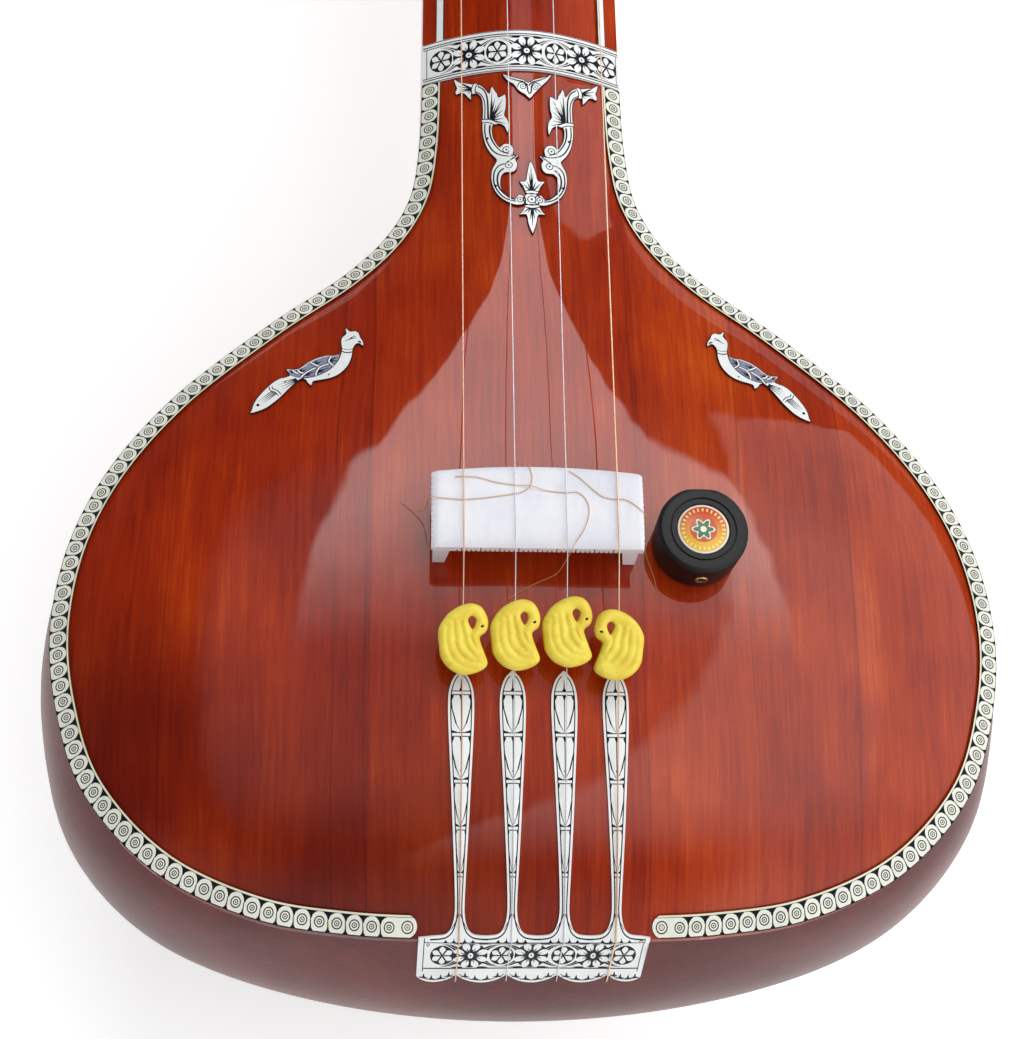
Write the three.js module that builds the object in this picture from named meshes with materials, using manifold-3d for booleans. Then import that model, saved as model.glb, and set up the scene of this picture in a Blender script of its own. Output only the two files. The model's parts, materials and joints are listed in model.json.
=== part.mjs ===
// A four-string tanpura, the long-necked drone lute with a gourd body, lying on its back.
// It is drawn face up: the tail edge lies at y = 0, the neck runs along +Y, and the
// soundboard's rim lies in the plane z = 0. The last lines lay it on the floor.
import * as THREE from "three";
import { mergeVertices } from "three/addons/utils/BufferGeometryUtils.js";
import Module from "manifold-3d";

const wasm = await Module();
wasm.setup();

// Clearances
const SEAT_GAP = 0.3;
const CUT_OVERRUN = 2;
const WELD_DISTANCE = 0.001;

// Body outline, seen from the front
const BODY_LENGTH = 424;
const WIDEST_AT = 134;
const BODY_HALF_WIDTH = 210.5;
const NECK_HALF_WIDTH = 49;
// Each row is a share of WIDEST_AT, then a share of BODY_HALF_WIDTH.
const tailOutlineShares = [
  [0, 0],
  [0.002, 0.19],
  [0.015, 0.37],
  [0.062, 0.553],
  [0.211, 0.758],
  [0.469, 0.912],
  [0.734, 0.976],
  [1, 1],
];
// Each row is a share of the way from the widest place to the neck, then a share of
// how much wider than the neck the body is.
const shoulderOutlineShares = [
  [0.138, 0.969],
  [0.26, 0.879],
  [0.391, 0.706],
  [0.529, 0.433],
  [0.622, 0.22],
  [0.694, 0.102],
  [0.767, 0.036],
  [0.863, 0.009],
  [1, 0],
];

// Gourd and the collar that joins it to the neck
const GOURD_DEPTH = 268;
const GOURD_WALL = 5;
const BOTTOM_AT = 150;
const TAIL_BULGE = 19;
const TAIL_BULGE_DEPTH = 76;
const FLAT_DEPTH = 2.4;
const HEAD_FLAT_DEPTH = 0.8;
const collarStartShare = 0.79;
// Each row is a share of the way from the deepest place to the neck, then a share of
// how much deeper than the neck the gourd is.
const backOutlineShares = [
  [0.2, 0.954],
  [0.42, 0.788],
  [0.62, 0.51],
  [0.77, 0.24],
  [0.88, 0.08],
  [0.95, 0.015],
  [1, 0],
];
// How deep the widest place of a cross-section lies, as a share of its depth.
const bulgeShares = [
  [0, 0.31],
  [0.25, 0.31],
  [0.45, 0.25],
  [0.7, 0.22],
  [1, 0.15],
];

// Soundboard
const EDGE_HEIGHT = 6;
const CROWN_RISE = 30;
const CROWN_REACH = 50;
const SOUNDBOARD_THICKNESS = 4.5;
const SEAT_WIDTH = 6.5;
const SPINE_TAIL_AT = 118;
const SPINE_MIDDLE_AT = 142;
const EDGE_SAMPLE_STEP = 4;

// Neck and head
const NECK_DEPTH = 66;
const NECK_WALL = 8;
const HEAD_AT = 1205;
const HEAD_END_AT = 1440;
const HEAD_HALF_WIDTH = 42;
const HEAD_DEPTH = 56;
const CAP_LENGTH = 16;
const NECK_BLOCK_LENGTH = 46;
const TAIL_BLOCK_WIDTH = 120;
const TAIL_BLOCK_REACH = 20;
const TAIL_BLOCK_HEIGHT = 58;

// Bridge
const BRIDGE_AT = 173.7;
const BRIDGE_HALF_WIDTH = 45.5;
const BRIDGE_DEPTH = 34;
const BRIDGE_BOW = 3;
const BRIDGE_PLATE_THICKNESS = 8;
const BRIDGE_TOP = 55.2;
const BRIDGE_CURVE_DROP = 1.1;
const BRIDGE_FOOT_INSET = 2.4;
const BRIDGE_FOOT_WIDTH = 8;
const BRIDGE_FOOT_TOE_WIDTH = 5.2;

// Nut and string guide
const NUT_AT = 1180;
const NUT_LENGTH = 7;
const NUT_TOP = 25;
const NUT_GROOVE_DEPTH = 0.8;
const GUIDE_AT = 1196;
const GUIDE_LENGTH = 4;
const GUIDE_TOP = 26.5;
const GUIDE_HOLE_DROP = 2.5;
const NUT_SIDE_MARGIN = 3;

// Strings
const STRING_SPACING = 22;
const STRING_CENTRE = 1.2;
const THREAD_RADIUS = 0.25;
const STRING_RADII = [0.4, 0.3, 0.3, 0.45];
const STRING_HOLE_RADIUS = 1.2;
const ANCHOR_DEPTH = 32;
const ANCHOR_REACH = 14;

// Swan beads
const BEAD_PLACES = [118.4, 120.3, 121.8, 116.7];
const BEAD_HEIGHT = 30;
const BEAD_WIDTH = 21;
const BEAD_THICKNESS = 10;
const BEAD_ROUNDING = 2.6;
const BEAD_BORE_RADIUS = 0.9;

// Pegs
const PEG_SHAFT_RADIUS = 7;
const PEG_TIP_RADIUS = 5.2;
const PEG_HEAD_RADIUS = 17;
const PEG_HEAD_LENGTH = 46;
const PEG_NECK_LENGTH = 26;
const PEG_TIP_OUT = 5;
const PEG_CLEARANCE = 0.5;
const WINDING_TURNS = 3;
const WINDING_PITCH = 1.6;
const WINDING_RADIUS = 0.45;
const WINDING_START = 6;
const FRONT_PEG_PLACES = [1290, 1345];
const SIDE_PEG_PLACES = [1258, 1392];
const SIDE_PEG_DEPTH = 14;

// Ornaments and inlays
const INLAY_THICKNESS = 0.9;
const STRIP_WIDTH = 9;
const STRIP_TAIL_GAP = 3;
const NECK_LINE_WIDTH = 4;
const NECK_LINE_INSET = 6.5;
const BAND_LAP = 3.4;
const BAND_WIDTH = 23.4;
const PLATE_HALF_WIDTH = 48.8;
const PLATE_FACE_LENGTH = 3;
const PLATE_DROP = 33;
const PLATE_SCALLOP = 3.5;
const SPOON_TIP_AT = 110;
const SPOON_HALF_WIDTH = 5.9;

// Surface pickup
const PICKUP_AT = 168.5;
const PICKUP_OFFSET = 71.5;
const PICKUP_RADIUS = 20;
const PICKUP_HEIGHT = 21;
const PICKUP_LABEL_RADIUS = 11.3;
const PICKUP_CHAMFER = 1.5;
const PICKUP_RECESS = 1.2;
const LABEL_THICKNESS = 0.5;
const SOCKET_RADIUS = 3;
const SOCKET_BORE_RADIUS = 1.7;
const SOCKET_LENGTH = 5;

// Where the band begins: a little before the end of the body
const bandStart = BODY_LENGTH - BAND_LAP;

// How finely curves are cut into facets
const RIM_ROWS = 36;
const BACK_ROWS = 21;
const BACK_COLUMNS = 17;
const ROUND_STEPS = 12;
const CURVE_DIVISIONS = 600;
const BACK_ARC_STEPS = 4;
const COLLAR_ROWS = 5;
const NECK_ROWS = 6;
const HEAD_ROWS = 3;
const SEARCH_STEPS = 30;
const HOLE_STEPS = 8;
const CORD_SIDES = 5;
const WINDING_SIDES = 5;
const WINDING_STEPS = 10;
const PLATE_COLUMNS = 14;
const RIBBON_STEP = 9;
const FACE_STRING_STEPS = 24;
const THREAD_DIVISIONS = 2;
const PICKUP_STEPS = 24;
const FLOOR_ROUNDS = 8;
const FULL_TURN = 2 * Math.PI;
const HALF_TURN = Math.PI;
const QUARTER_TURN = Math.PI / 2;

// Where the sheets' columns and rows lie, as shares of their width or length
const crownColumnShares = [0.12, 0.3, 0.6, 1];
const neckColumnShares = [0.7, 0.35, 0];
const ribbonColumnShares = [-1, 1];
const broadColumnShares = [-1, -0.4, 0.4, 1];
const bandRowShares = [0, 0.5, 1];
const bandColumnShares = [-1, -0.86, -0.7, -0.5, -0.25, 0, 0.25, 0.5, 0.7, 0.86, 1];
const capColumnShares = [-1, -0.8, -0.5, 0, 0.5, 0.8, 1];
const bridgeRowShares = [-1, -0.6, 0, 0.6, 1];
const bridgeColumnShares = [-1, -0.75, -0.5, -0.25, 0, 0.25, 0.5, 0.75, 1];
const plateDropShares = [0.1, 0.35, 0.65, 1];
// The cap's rings: a share of its length and a share of the head's outline.
const capRingShares = [
  [0, 1],
  [0.45, 0.95],
  [0.8, 0.8],
  [1, 0.55],
];

// Value of y at x on a line of straight pieces through the rows of a table.
function along(table, x) {
  const last = table.length - 1;
  const after = table.findIndex(([at]) => at >= x);
  const i = after < 0 ? last : Math.max(after, 1);
  const [x0, y0] = table[i - 1];
  const [x1, y1] = table[i];
  return THREE.MathUtils.mapLinear(THREE.MathUtils.clamp(x, x0, x1), x0, x1, y0, y1);
}

const lerp = THREE.MathUtils.lerp;

// Faces are gathered as loose triangles and welded into one closed body at the end.
class Skin {
  constructor() {
    this.points = [];
  }

  triangle(a, b, c) {
    this.points.push(a, b, c);
  }

  // A sheet of four-cornered faces through rows of points.
  patch(rows) {
    for (let i = 1; i < rows.length; i += 1) {
      for (let j = 1; j < rows[i].length; j += 1) {
        const a = rows[i - 1][j - 1];
        const b = rows[i][j - 1];
        const c = rows[i][j];
        const d = rows[i - 1][j];
        this.triangle(a, b, c);
        this.triangle(a, c, d);
      }
    }
  }

  // A flat face fanned out from the first point of a convex ring.
  fan(ring) {
    for (let j = 2; j < ring.length; j += 1) {
      this.triangle(ring[0], ring[j - 1], ring[j]);
    }
  }

  solid() {
    const loose = new THREE.BufferGeometry().setFromPoints(this.points);
    return solidFrom(loose);
  }
}

// A closed mesh as a solid that can be joined and cut.
function solidFrom(geometry) {
  const bare = geometry.clone();
  bare.deleteAttribute("normal");
  bare.deleteAttribute("uv");
  const welded = mergeVertices(bare, WELD_DISTANCE);
  const corners = welded.index.array;
  const kept = [];
  for (let i = 0; i < corners.length; i += 3) {
    const [a, b, c] = corners.slice(i, i + 3);
    if (a !== b && b !== c && c !== a) {
      kept.push(a, b, c);
    }
  }
  const made = (order) =>
    new wasm.Manifold(
      new wasm.Mesh({
        numProp: 3,
        vertProperties: welded.attributes.position.array,
        triVerts: new Uint32Array(order),
      }),
    );
  const body = made(kept);
  return body.volume() > 0 ? body : made(kept.reverse());
}

function geometryFrom(body) {
  const mesh = body.getMesh();
  return new THREE.BufferGeometry()
    .setAttribute("position", new THREE.BufferAttribute(mesh.vertProperties, 3))
    .setIndex(new THREE.BufferAttribute(mesh.triVerts, 1));
}

// A plate between an upper and a lower sheet of points with the same rows and columns.
function slab(top, bottom, closedAtEnd = false) {
  const skin = new Skin();
  const last = top.length - 1;
  skin.patch(top);
  skin.patch(bottom.map((row) => [...row].reverse()));
  skin.patch(top.map((row, i) => [bottom[i][0], row[0]]));
  skin.patch(top.map((row, i) => [row.at(-1), bottom[i].at(-1)]));
  skin.patch([bottom[0], top[0]]);
  if (!closedAtEnd) {
    skin.patch([top[last], bottom[last]]);
  }
  return skin.solid();
}

// A closed body through open rows whose two ends are joined by a flat face. Where the
// first row has shrunk to a point or folded flat, it needs no face of its own.
function hull(rows, hasFirstFace = true) {
  const skin = new Skin();
  skin.patch(rows);
  skin.patch(rows.map((row) => [row.at(-1), row[0]]));
  if (hasFirstFace) {
    skin.fan(rows[0]);
  }
  skin.fan([...rows.at(-1)].reverse());
  return skin.solid();
}

function movedSolid(geometry, position, rotation = [0, 0, 0]) {
  const place = new THREE.Object3D();
  place.position.set(...position);
  place.rotation.set(...rotation);
  place.updateMatrix();
  return solidFrom(geometry.clone().applyMatrix4(place.matrix));
}

// Body outline and back outline as smooth curves
const rimPoints = [
  ...tailOutlineShares.map(
    ([share, width]) => new THREE.Vector3(BODY_HALF_WIDTH * width, WIDEST_AT * share, 0),
  ),
  ...shoulderOutlineShares.map(
    ([share, width]) =>
      new THREE.Vector3(
        lerp(NECK_HALF_WIDTH, BODY_HALF_WIDTH, width),
        lerp(WIDEST_AT, BODY_LENGTH, share),
        0,
      ),
  ),
];
const rim = new THREE.CatmullRomCurve3(rimPoints);
rim.arcLengthDivisions = CURVE_DIVISIONS;

const backPoints = [new THREE.Vector3()];
for (let i = 0; i <= BACK_ARC_STEPS; i += 1) {
  const angle = (QUARTER_TURN * i) / BACK_ARC_STEPS;
  backPoints.push(
    new THREE.Vector3(
      0,
      BOTTOM_AT - (BOTTOM_AT + TAIL_BULGE) * Math.cos(angle),
      -lerp(TAIL_BULGE_DEPTH, GOURD_DEPTH, Math.sin(angle)),
    ),
  );
}
for (const [share, depth] of backOutlineShares) {
  backPoints.push(
    new THREE.Vector3(
      0,
      lerp(BOTTOM_AT, BODY_LENGTH, share),
      -lerp(NECK_DEPTH, GOURD_DEPTH, depth),
    ),
  );
}
const back = new THREE.CatmullRomCurve3(backPoints);
back.arcLengthDivisions = CURVE_DIVISIONS;

// The plane that the back pieces reach up to, just under the soundboard's edge.
const BACK_TOP = -EDGE_HEIGHT - SEAT_GAP;

// A point of the rim or of the back outline, moved inwards.
function insetPoint(curve, share, inset) {
  const point = curve.getPointAt(share);
  const ahead = curve.getTangentAt(share);
  const inward =
    curve === rim
      ? new THREE.Vector3(-ahead.y, ahead.x, 0)
      : new THREE.Vector3(0, -ahead.z, ahead.y);
  return point.addScaledVector(inward, inset);
}

// One cross-section of the back, from the right edge round the bottom to the left edge.
function sectionRow(halfWidth, sideAt, bottomAt, depth, bulge, raised = 0) {
  const lean = Math.asin(bulge / (1 - bulge));
  const reach = halfWidth / Math.cos(lean);
  const row = [];
  for (let j = 0; j <= BACK_COLUMNS; j += 1) {
    const angle = lerp(-lean, HALF_TURN + lean, j / BACK_COLUMNS);
    const sunk = bulge + (1 - bulge) * Math.sin(angle);
    row.push(
      new THREE.Vector3(
        reach * Math.cos(angle),
        lerp(sideAt, bottomAt, sunk),
        BACK_TOP - depth * sunk,
      ),
    );
  }
  if (raised > 0) {
    const up = new THREE.Vector3(0, 0, raised);
    row.unshift(row[0].clone().add(up));
    row.push(row.at(-1).clone().add(up));
  }
  return row;
}

function bodyRow(share, inset, raised = 0) {
  const side = insetPoint(rim, share, inset);
  const bottom = insetPoint(back, share, inset);
  const bulge = along(bulgeShares, share);
  return sectionRow(Math.max(side.x, 0), side.y, bottom.y, -bottom.z, bulge, raised);
}

function neckHalfWidth(y) {
  return THREE.MathUtils.mapLinear(
    y, BODY_LENGTH, HEAD_END_AT, NECK_HALF_WIDTH, HEAD_HALF_WIDTH);
}

function neckDepth(y) {
  return THREE.MathUtils.mapLinear(y, BODY_LENGTH, HEAD_END_AT, NECK_DEPTH, HEAD_DEPTH);
}

function neckRow(y, inset, raised = 0) {
  const bulge = bulgeShares.at(-1)[1];
  return sectionRow(neckHalfWidth(y) - inset, y, y, neckDepth(y) - inset, bulge, raised);
}

// Short pieces of the whole front outline, which the crown's height is measured from.
const edgeSamples = [];
const rimLength = rim.getLength();
const rimSteps = Math.round(rimLength / EDGE_SAMPLE_STEP);
for (let i = 0; i < rimSteps; i += 1) {
  const point = rim.getPointAt((i + 1 / 2) / rimSteps);
  edgeSamples.push([point.x, point.y, rimLength / rimSteps]);
}
const neckEdgeEnd = HEAD_END_AT + BODY_HALF_WIDTH;
for (let y = BODY_LENGTH; y < neckEdgeEnd; y += EDGE_SAMPLE_STEP) {
  edgeSamples.push([neckHalfWidth(y), y + EDGE_SAMPLE_STEP / 2, EDGE_SAMPLE_STEP]);
}

// Height of the front over the rim's plane. The distance to the edge is blended over
// the whole edge, so the crown has no crease along its middle.
function faceHeight(x, y) {
  let sum = 0;
  for (const [edgeX, edgeY, length] of edgeSamples) {
    const right = (x - edgeX) ** 2 + (y - edgeY) ** 2;
    const left = (x + edgeX) ** 2 + (y - edgeY) ** 2;
    sum += length / right ** 2 + length / left ** 2;
  }
  const distance = Math.cbrt(QUARTER_TURN / sum);
  return CROWN_RISE * (1 - Math.exp(-distance / CROWN_REACH));
}

// Share along the rim where a measured value passes zero.
function shareWhere(value) {
  let low = 0;
  let high = 1;
  for (let i = 0; i < SEARCH_STEPS; i += 1) {
    const middle = (low + high) / 2;
    if (value(middle) < 0) {
      low = middle;
    } else {
      high = middle;
    }
  }
  return high;
}

function rimYAt(x) {
  return rim.getPointAt(shareWhere((share) => {
    const point = rim.getPointAt(share);
    return point.y < WIDEST_AT ? point.x - Math.abs(x) : 1;
  })).y;
}

// Where the gourd's outer wall at the tail lies, a given way down from its top edge.
function tailWallY(x, drop) {
  const reachOf = (share) => {
    const side = rim.getPointAt(share);
    const depth = -back.getPointAt(share).z;
    const bulge = along(bulgeShares, share);
    const lean = Math.asin(bulge / (1 - bulge));
    const rise = (drop / depth - bulge) / (1 - bulge);
    return 1 - ((x * Math.cos(lean)) / side.x) ** 2 - rise ** 2;
  };
  const share = shareWhere(reachOf);
  const side = rim.getPointAt(share);
  const bottom = back.getPointAt(share);
  return lerp(side.y, bottom.y, drop / -bottom.z);
}

// Gourd, collar and the blocks inside them
function gourdSolid(inset, raised) {
  const rows = [];
  const end = raised > 0 ? collarStartShare + CUT_OVERRUN / rimLength : collarStartShare;
  for (let i = 0; i <= BACK_ROWS; i += 1) {
    rows.push(bodyRow((end * i) / BACK_ROWS, inset, raised));
  }
  return hull(rows, false);
}

function collarSolid(inset, overrun, raised) {
  const start = collarStartShare + SEAT_GAP / rimLength - overrun / rimLength;
  const rows = [];
  for (let i = 0; i <= COLLAR_ROWS; i += 1) {
    rows.push(bodyRow(lerp(start, 1, i / COLLAR_ROWS), inset, raised));
  }
  if (overrun > 0) {
    const past = new THREE.Vector3(0, overrun, 0);
    rows.push(rows.at(-1).map((point) => point.clone().add(past)));
  }
  return hull(rows);
}

function neckSolid(from, to, inset, raised) {
  return hull([neckRow(from, inset, raised), neckRow(to, inset, raised)]);
}

const neckStart = BODY_LENGTH + SEAT_GAP;
const headStart = HEAD_AT + SEAT_GAP;
const anchorZ = BACK_TOP - ANCHOR_DEPTH;
const stringPlaces = [];
for (let i = 0; i < STRING_RADII.length; i += 1) {
  stringPlaces.push(STRING_CENTRE + STRING_SPACING * (i - (STRING_RADII.length - 1) / 2));
}

// A round cutter along Y, centred on a point, with its far end raised by the lean.
function roundCutter(x, y, z, radius, length, lean = 0) {
  const bore = new THREE.CylinderGeometry(radius, radius, length, HOLE_STEPS);
  return movedSolid(bore, [x, y, z], [lean, 0, 0]);
}

function tailBlockSolid() {
  const width = TAIL_BLOCK_WIDTH;
  const box = new THREE.BoxGeometry(width, TAIL_BLOCK_REACH + TAIL_BULGE, TAIL_BLOCK_HEIGHT);
  const middleY = (TAIL_BLOCK_REACH - TAIL_BULGE) / 2;
  const middleZ = BACK_TOP - SEAT_GAP - TAIL_BLOCK_HEIGHT / 2;
  return movedSolid(box, [0, middleY, middleZ]).intersect(
    gourdSolid(GOURD_WALL + SEAT_GAP, CUT_OVERRUN),
  );
}

function drilledForStrings(body) {
  const reach = ANCHOR_REACH + TAIL_BULGE + CUT_OVERRUN;
  const holes = stringPlaces.map((x) =>
    roundCutter(x, ANCHOR_REACH - reach / 2, anchorZ, STRING_HOLE_RADIUS, reach),
  );
  return holes.reduce((left, hole) => left.subtract(hole), body);
}

// Front plates: the soundboard over the body and the face plates over neck and head
function faceRow(points) {
  const top = [];
  const bottom = [];
  points.forEach(([x, y], column) => {
    const fromEdge = Math.min(column, points.length - 1 - column);
    const height = fromEdge === 0 ? 0 : faceHeight(x, y);
    const under = fromEdge < 2 ? -EDGE_HEIGHT : height - SOUNDBOARD_THICKNESS;
    top.push(new THREE.Vector3(x, y, height));
    bottom.push(new THREE.Vector3(x, y, under));
  });
  return { top, bottom };
}

function spineY(y) {
  return y < WIDEST_AT
    ? THREE.MathUtils.mapLinear(y, 0, WIDEST_AT, SPINE_TAIL_AT, SPINE_MIDDLE_AT)
    : THREE.MathUtils.mapLinear(y, WIDEST_AT, BODY_LENGTH, SPINE_MIDDLE_AT, BODY_LENGTH);
}

// The columns of the soundboard on one side, from the rim in to the spine.
function rimToSpine(share) {
  const edge = rim.getPointAt(share);
  const seat = insetPoint(rim, share, SEAT_WIDTH);
  const strip = insetPoint(rim, share, STRIP_WIDTH);
  const spine = new THREE.Vector3(0, spineY(edge.y), 0);
  const crown = crownColumnShares.map((part) => strip.clone().lerp(spine, part));
  const side = [edge, seat, strip, ...crown];
  return side.map((point) => [
    Math.max(point.x, 0),
    share === 1 ? BODY_LENGTH : Math.min(point.y, BODY_LENGTH),
  ]);
}

function mirrored(side) {
  const other = side.slice(0, -1).reverse().map(([x, y]) => [-x, y]);
  return [...side, ...other];
}

function soundboardSolid() {
  const rows = [];
  for (let i = RIM_ROWS; i >= 0; i -= 1) {
    rows.push(faceRow(mirrored(rimToSpine(i / RIM_ROWS))));
  }
  return slab(rows.map((row) => row.top), rows.map((row) => row.bottom), true);
}

// One row across the front of the neck, whose outermost points lie in from its edge.
function neckFaceRow(y, edgeInset) {
  const insets = [edgeInset, SEAT_WIDTH, STRIP_WIDTH];
  const outer = insets.map((inset) => neckHalfWidth(y) - inset);
  const inner = neckColumnShares.map((part) => part * outer.at(-1));
  return mirrored([...outer, ...inner].map((x) => [x, y]));
}

function facePlateSolid(from, to, count) {
  const rows = [];
  for (let i = 0; i <= count; i += 1) {
    rows.push(faceRow(neckFaceRow(lerp(from, to, i / count), 0)));
  }
  return slab(rows.map((row) => row.top), rows.map((row) => row.bottom));
}

// The end cap closes the head's hollow: its outline shrinks as it rounds over.
function capSolid() {
  const y = HEAD_END_AT + SEAT_GAP;
  const lower = neckRow(y, 0);
  const half = neckHalfWidth(y);
  const upper = capColumnShares.map(
    (part) => new THREE.Vector3(part * half, y, Math.abs(part) < 1 ? faceHeight(part * half, y) : 0),
  );
  const outline = [...lower, ...upper];
  const middle = new THREE.Vector3(0, y, BACK_TOP - HEAD_DEPTH / 2);
  const rings = capRingShares.map(([rise, size]) =>
    outline.map((point) => {
      const moved = middle.clone().lerp(point, size);
      moved.y = y + rise * CAP_LENGTH;
      return moved;
    }),
  );
  const skin = new Skin();
  skin.patch(rings.map((ring) => [...ring, ring[0]]));
  skin.fan(rings[0]);
  skin.fan([...rings.at(-1)].reverse());
  return skin.solid();
}

// Stations added between those of a path, so that none lies far from the next.
function refined(stations) {
  return stations.flatMap((station, i) => {
    if (i === 0) {
      return [station];
    }
    const before = stations[i - 1];
    const length = Math.hypot(station[0] - before[0], station[1] - before[1]);
    const count = Math.ceil(length / RIBBON_STEP);
    const between = [];
    for (let k = 1; k <= count; k += 1) {
      between.push(station.map((value, axis) => lerp(before[axis], value, k / count)));
    }
    return between;
  });
}

// A thin strip that lies on the front along a path of [x, y, half width] stations.
function ribbon(stations, columnShares = ribbonColumnShares) {
  const path = refined(stations);
  const rows = path.map(([x, y, half], i) => {
    const [x0, y0] = path[Math.max(i - 1, 0)];
    const [x1, y1] = path[Math.min(i + 1, path.length - 1)];
    const ahead = new THREE.Vector2(x1 - x0, y1 - y0).normalize();
    return columnShares.map((part) => [
      x - ahead.y * half * part,
      y + ahead.x * half * part,
    ]);
  });
  return sheetOnFace(rows);
}

function sheetOnFace(rows) {
  const lifted = (lift) =>
    rows.map((row) => row.map(([x, y]) => new THREE.Vector3(x, y, faceHeight(x, y) + lift)));
  return slab(lifted(SEAT_GAP + INLAY_THICKNESS), lifted(SEAT_GAP));
}

function joined(bodies) {
  return bodies.reduce((all, body) => all.add(body));
}

// The rim strip keeps the soundboard's own rows, so both bend at the same places.
function rimStripSolid(side) {
  const start = shareWhere((share) => {
    const point = rim.getPointAt(share);
    return point.y < WIDEST_AT ? point.x - PLATE_HALF_WIDTH - STRIP_TAIL_GAP : 1;
  });
  const end = shareWhere((share) => rim.getPointAt(share).y - bandStart + SEAT_GAP);
  const shares = [start];
  for (let i = 0; i <= RIM_ROWS; i += 1) {
    const share = i / RIM_ROWS;
    if (share > start && share < end) {
      shares.push(share);
    }
  }
  shares.push(end);
  const rows = shares.map((share) => {
    const edge = rim.getPointAt(share);
    const points = [edge, insetPoint(rim, share, SEAT_WIDTH), insetPoint(rim, share, STRIP_WIDTH)];
    return points.map((point) => [side * point.x, Math.min(point.y, bandStart - SEAT_GAP)]);
  });
  const lifted = (lift) =>
    rows.map((row) =>
      row.map(([x, y], column) => {
        const height = column === 0 ? 0 : faceHeight(x, y);
        return new THREE.Vector3(x, y, height + lift);
      }),
    );
  return slab(lifted(SEAT_GAP + INLAY_THICKNESS), lifted(SEAT_GAP));
}

function neckLineSolid(side) {
  const rows = [];
  const from = bandStart + BAND_WIDTH + SEAT_GAP;
  const to = NUT_AT - NUT_LENGTH / 2 - SEAT_GAP;
  for (let i = 0; i <= NECK_ROWS; i += 1) {
    const y = lerp(from, to, i / NECK_ROWS);
    const outer = neckHalfWidth(y) - NECK_LINE_INSET;
    rows.push([[side * outer, y], [side * (outer - NECK_LINE_WIDTH), y]]);
  }
  return sheetOnFace(rows);
}

function bandSolid() {
  const rows = bandRowShares.map((part) => {
    const y = bandStart + part * BAND_WIDTH;
    const half = neckHalfWidth(Math.max(y, BODY_LENGTH));
    return bandColumnShares.map((across) => [across * half, y]);
  });
  const lifted = (lift) =>
    rows.map((row) =>
      row.map(([x, y], column) => {
        const edge = column === 0 || column === row.length - 1;
        return new THREE.Vector3(x, y, (edge ? 0 : faceHeight(x, y)) + lift);
      }),
    );
  return slab(lifted(SEAT_GAP + INLAY_THICKNESS), lifted(SEAT_GAP));
}

// Scroll below the band: two arms with a leaf each, two arcs and a fleur between them
const SCROLL_REACH = 96.6;
const SCROLL_LENGTH = 93;
const SCROLL_HALF_WIDTH = 34;
const SCROLL_CENTRE = 2;
const scrollStart = BODY_LENGTH - SCROLL_REACH;
// Each row is a share across, a share along and a half width as a share of the length.
const scrollArmShares = [
  [0.975, 0.985, 0.006],
  [0.88, 0.94, 0.055],
  [0.76, 0.89, 0.06],
  [0.65, 0.82, 0.034],
  [0.6, 0.75, 0.025],
  [0.61, 0.69, 0.03],
  [0.6, 0.6, 0.024],
  [0.5, 0.53, 0.03],
  [0.42, 0.47, 0.036],
  [0.33, 0.42, 0.02],
];
const scrollArcShares = [
  [0.3, 0.45, 0.02],
  [0.42, 0.41, 0.03],
  [0.5, 0.33, 0.028],
  [0.45, 0.25, 0.026],
  [0.3, 0.205, 0.024],
  [0.1, 0.21, 0.022],
  [0, 0.22, 0.022],
];
const scrollFleurShares = [
  [0, 0, 0.004],
  [0, 0.06, 0.028],
  [0, 0.12, 0.055],
  [0, 0.17, 0.022],
  [0, 0.22, 0.036],
  [0, 0.27, 0.022],
  [0, 0.32, 0.06],
  [0, 0.38, 0.03],
  [0, 0.45, 0.004],
];
const crestShares = [
  [0, 0.845, 0.004],
  [0, 0.875, 0.03],
  [0, 0.92, 0.07],
  [0, 0.96, 0.1],
  [0, 0.99, 0.125],
];

function scrollPath(shares, side) {
  return shares.map(([across, share, half]) => [
    SCROLL_CENTRE + side * across * SCROLL_HALF_WIDTH,
    scrollStart + share * SCROLL_LENGTH,
    half * SCROLL_LENGTH,
  ]);
}

function scrollSolid() {
  const sides = [-1, 1].flatMap((side) => [
    ribbon(scrollPath(scrollArmShares, side)),
    ribbon(scrollPath(scrollArcShares, side)),
  ]);
  return joined([...sides, ribbon(scrollPath(scrollFleurShares, 1))]);
}

// Birds on the shoulders, from the tail's tip to the crest
const BIRD_TAIL_X = 128;
const BIRD_REACH_X = 41;
// The way from the widest place to the neck, at the tail's tip and at the crest
const birdSpanShares = [0.3448, 0.5069];
const birdShares = [
  [0, 0, 0.015],
  [0.18, 0.15, 0.07],
  [0.36, 0.32, 0.09],
  [0.56, 0.48, 0.12],
  [0.72, 0.6, 0.13],
  [0.86, 0.71, 0.1],
  [0.96, 0.8, 0.055],
  [1.02, 0.88, 0.07],
  [1, 1, 0.015],
];
const beakShares = [
  [1, 0.87, 0.04],
  [1.15, 0.81, 0.008],
];

function birdSolid(side) {
  const path = (shares) =>
    shares.map(([across, share, half]) => [
      side * (BIRD_TAIL_X - across * BIRD_REACH_X),
      lerp(WIDEST_AT, BODY_LENGTH, lerp(birdSpanShares[0], birdSpanShares[1], share)),
      half * BIRD_REACH_X,
    ]);
  return joined([ribbon(path(birdShares)), ribbon(path(beakShares))]);
}

// Tail plate: it starts on the soundboard, bends over the edge and lies on the gourd
const firstStringX = stringPlaces[0];
// Each row is a share of the blade's length and a share of its widest half width.
const spoonShares = [
  [0.012, 1.86],
  [0.032, 1.86],
  [0.042, 1.2],
  [0.052, 0.9],
  [0.07, 0.6],
  [0.115, 0.36],
  [0.5, 0.7],
  [0.88, 1],
  [0.93, 0.88],
  [0.97, 0.58],
  [1, 0.06],
];

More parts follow.
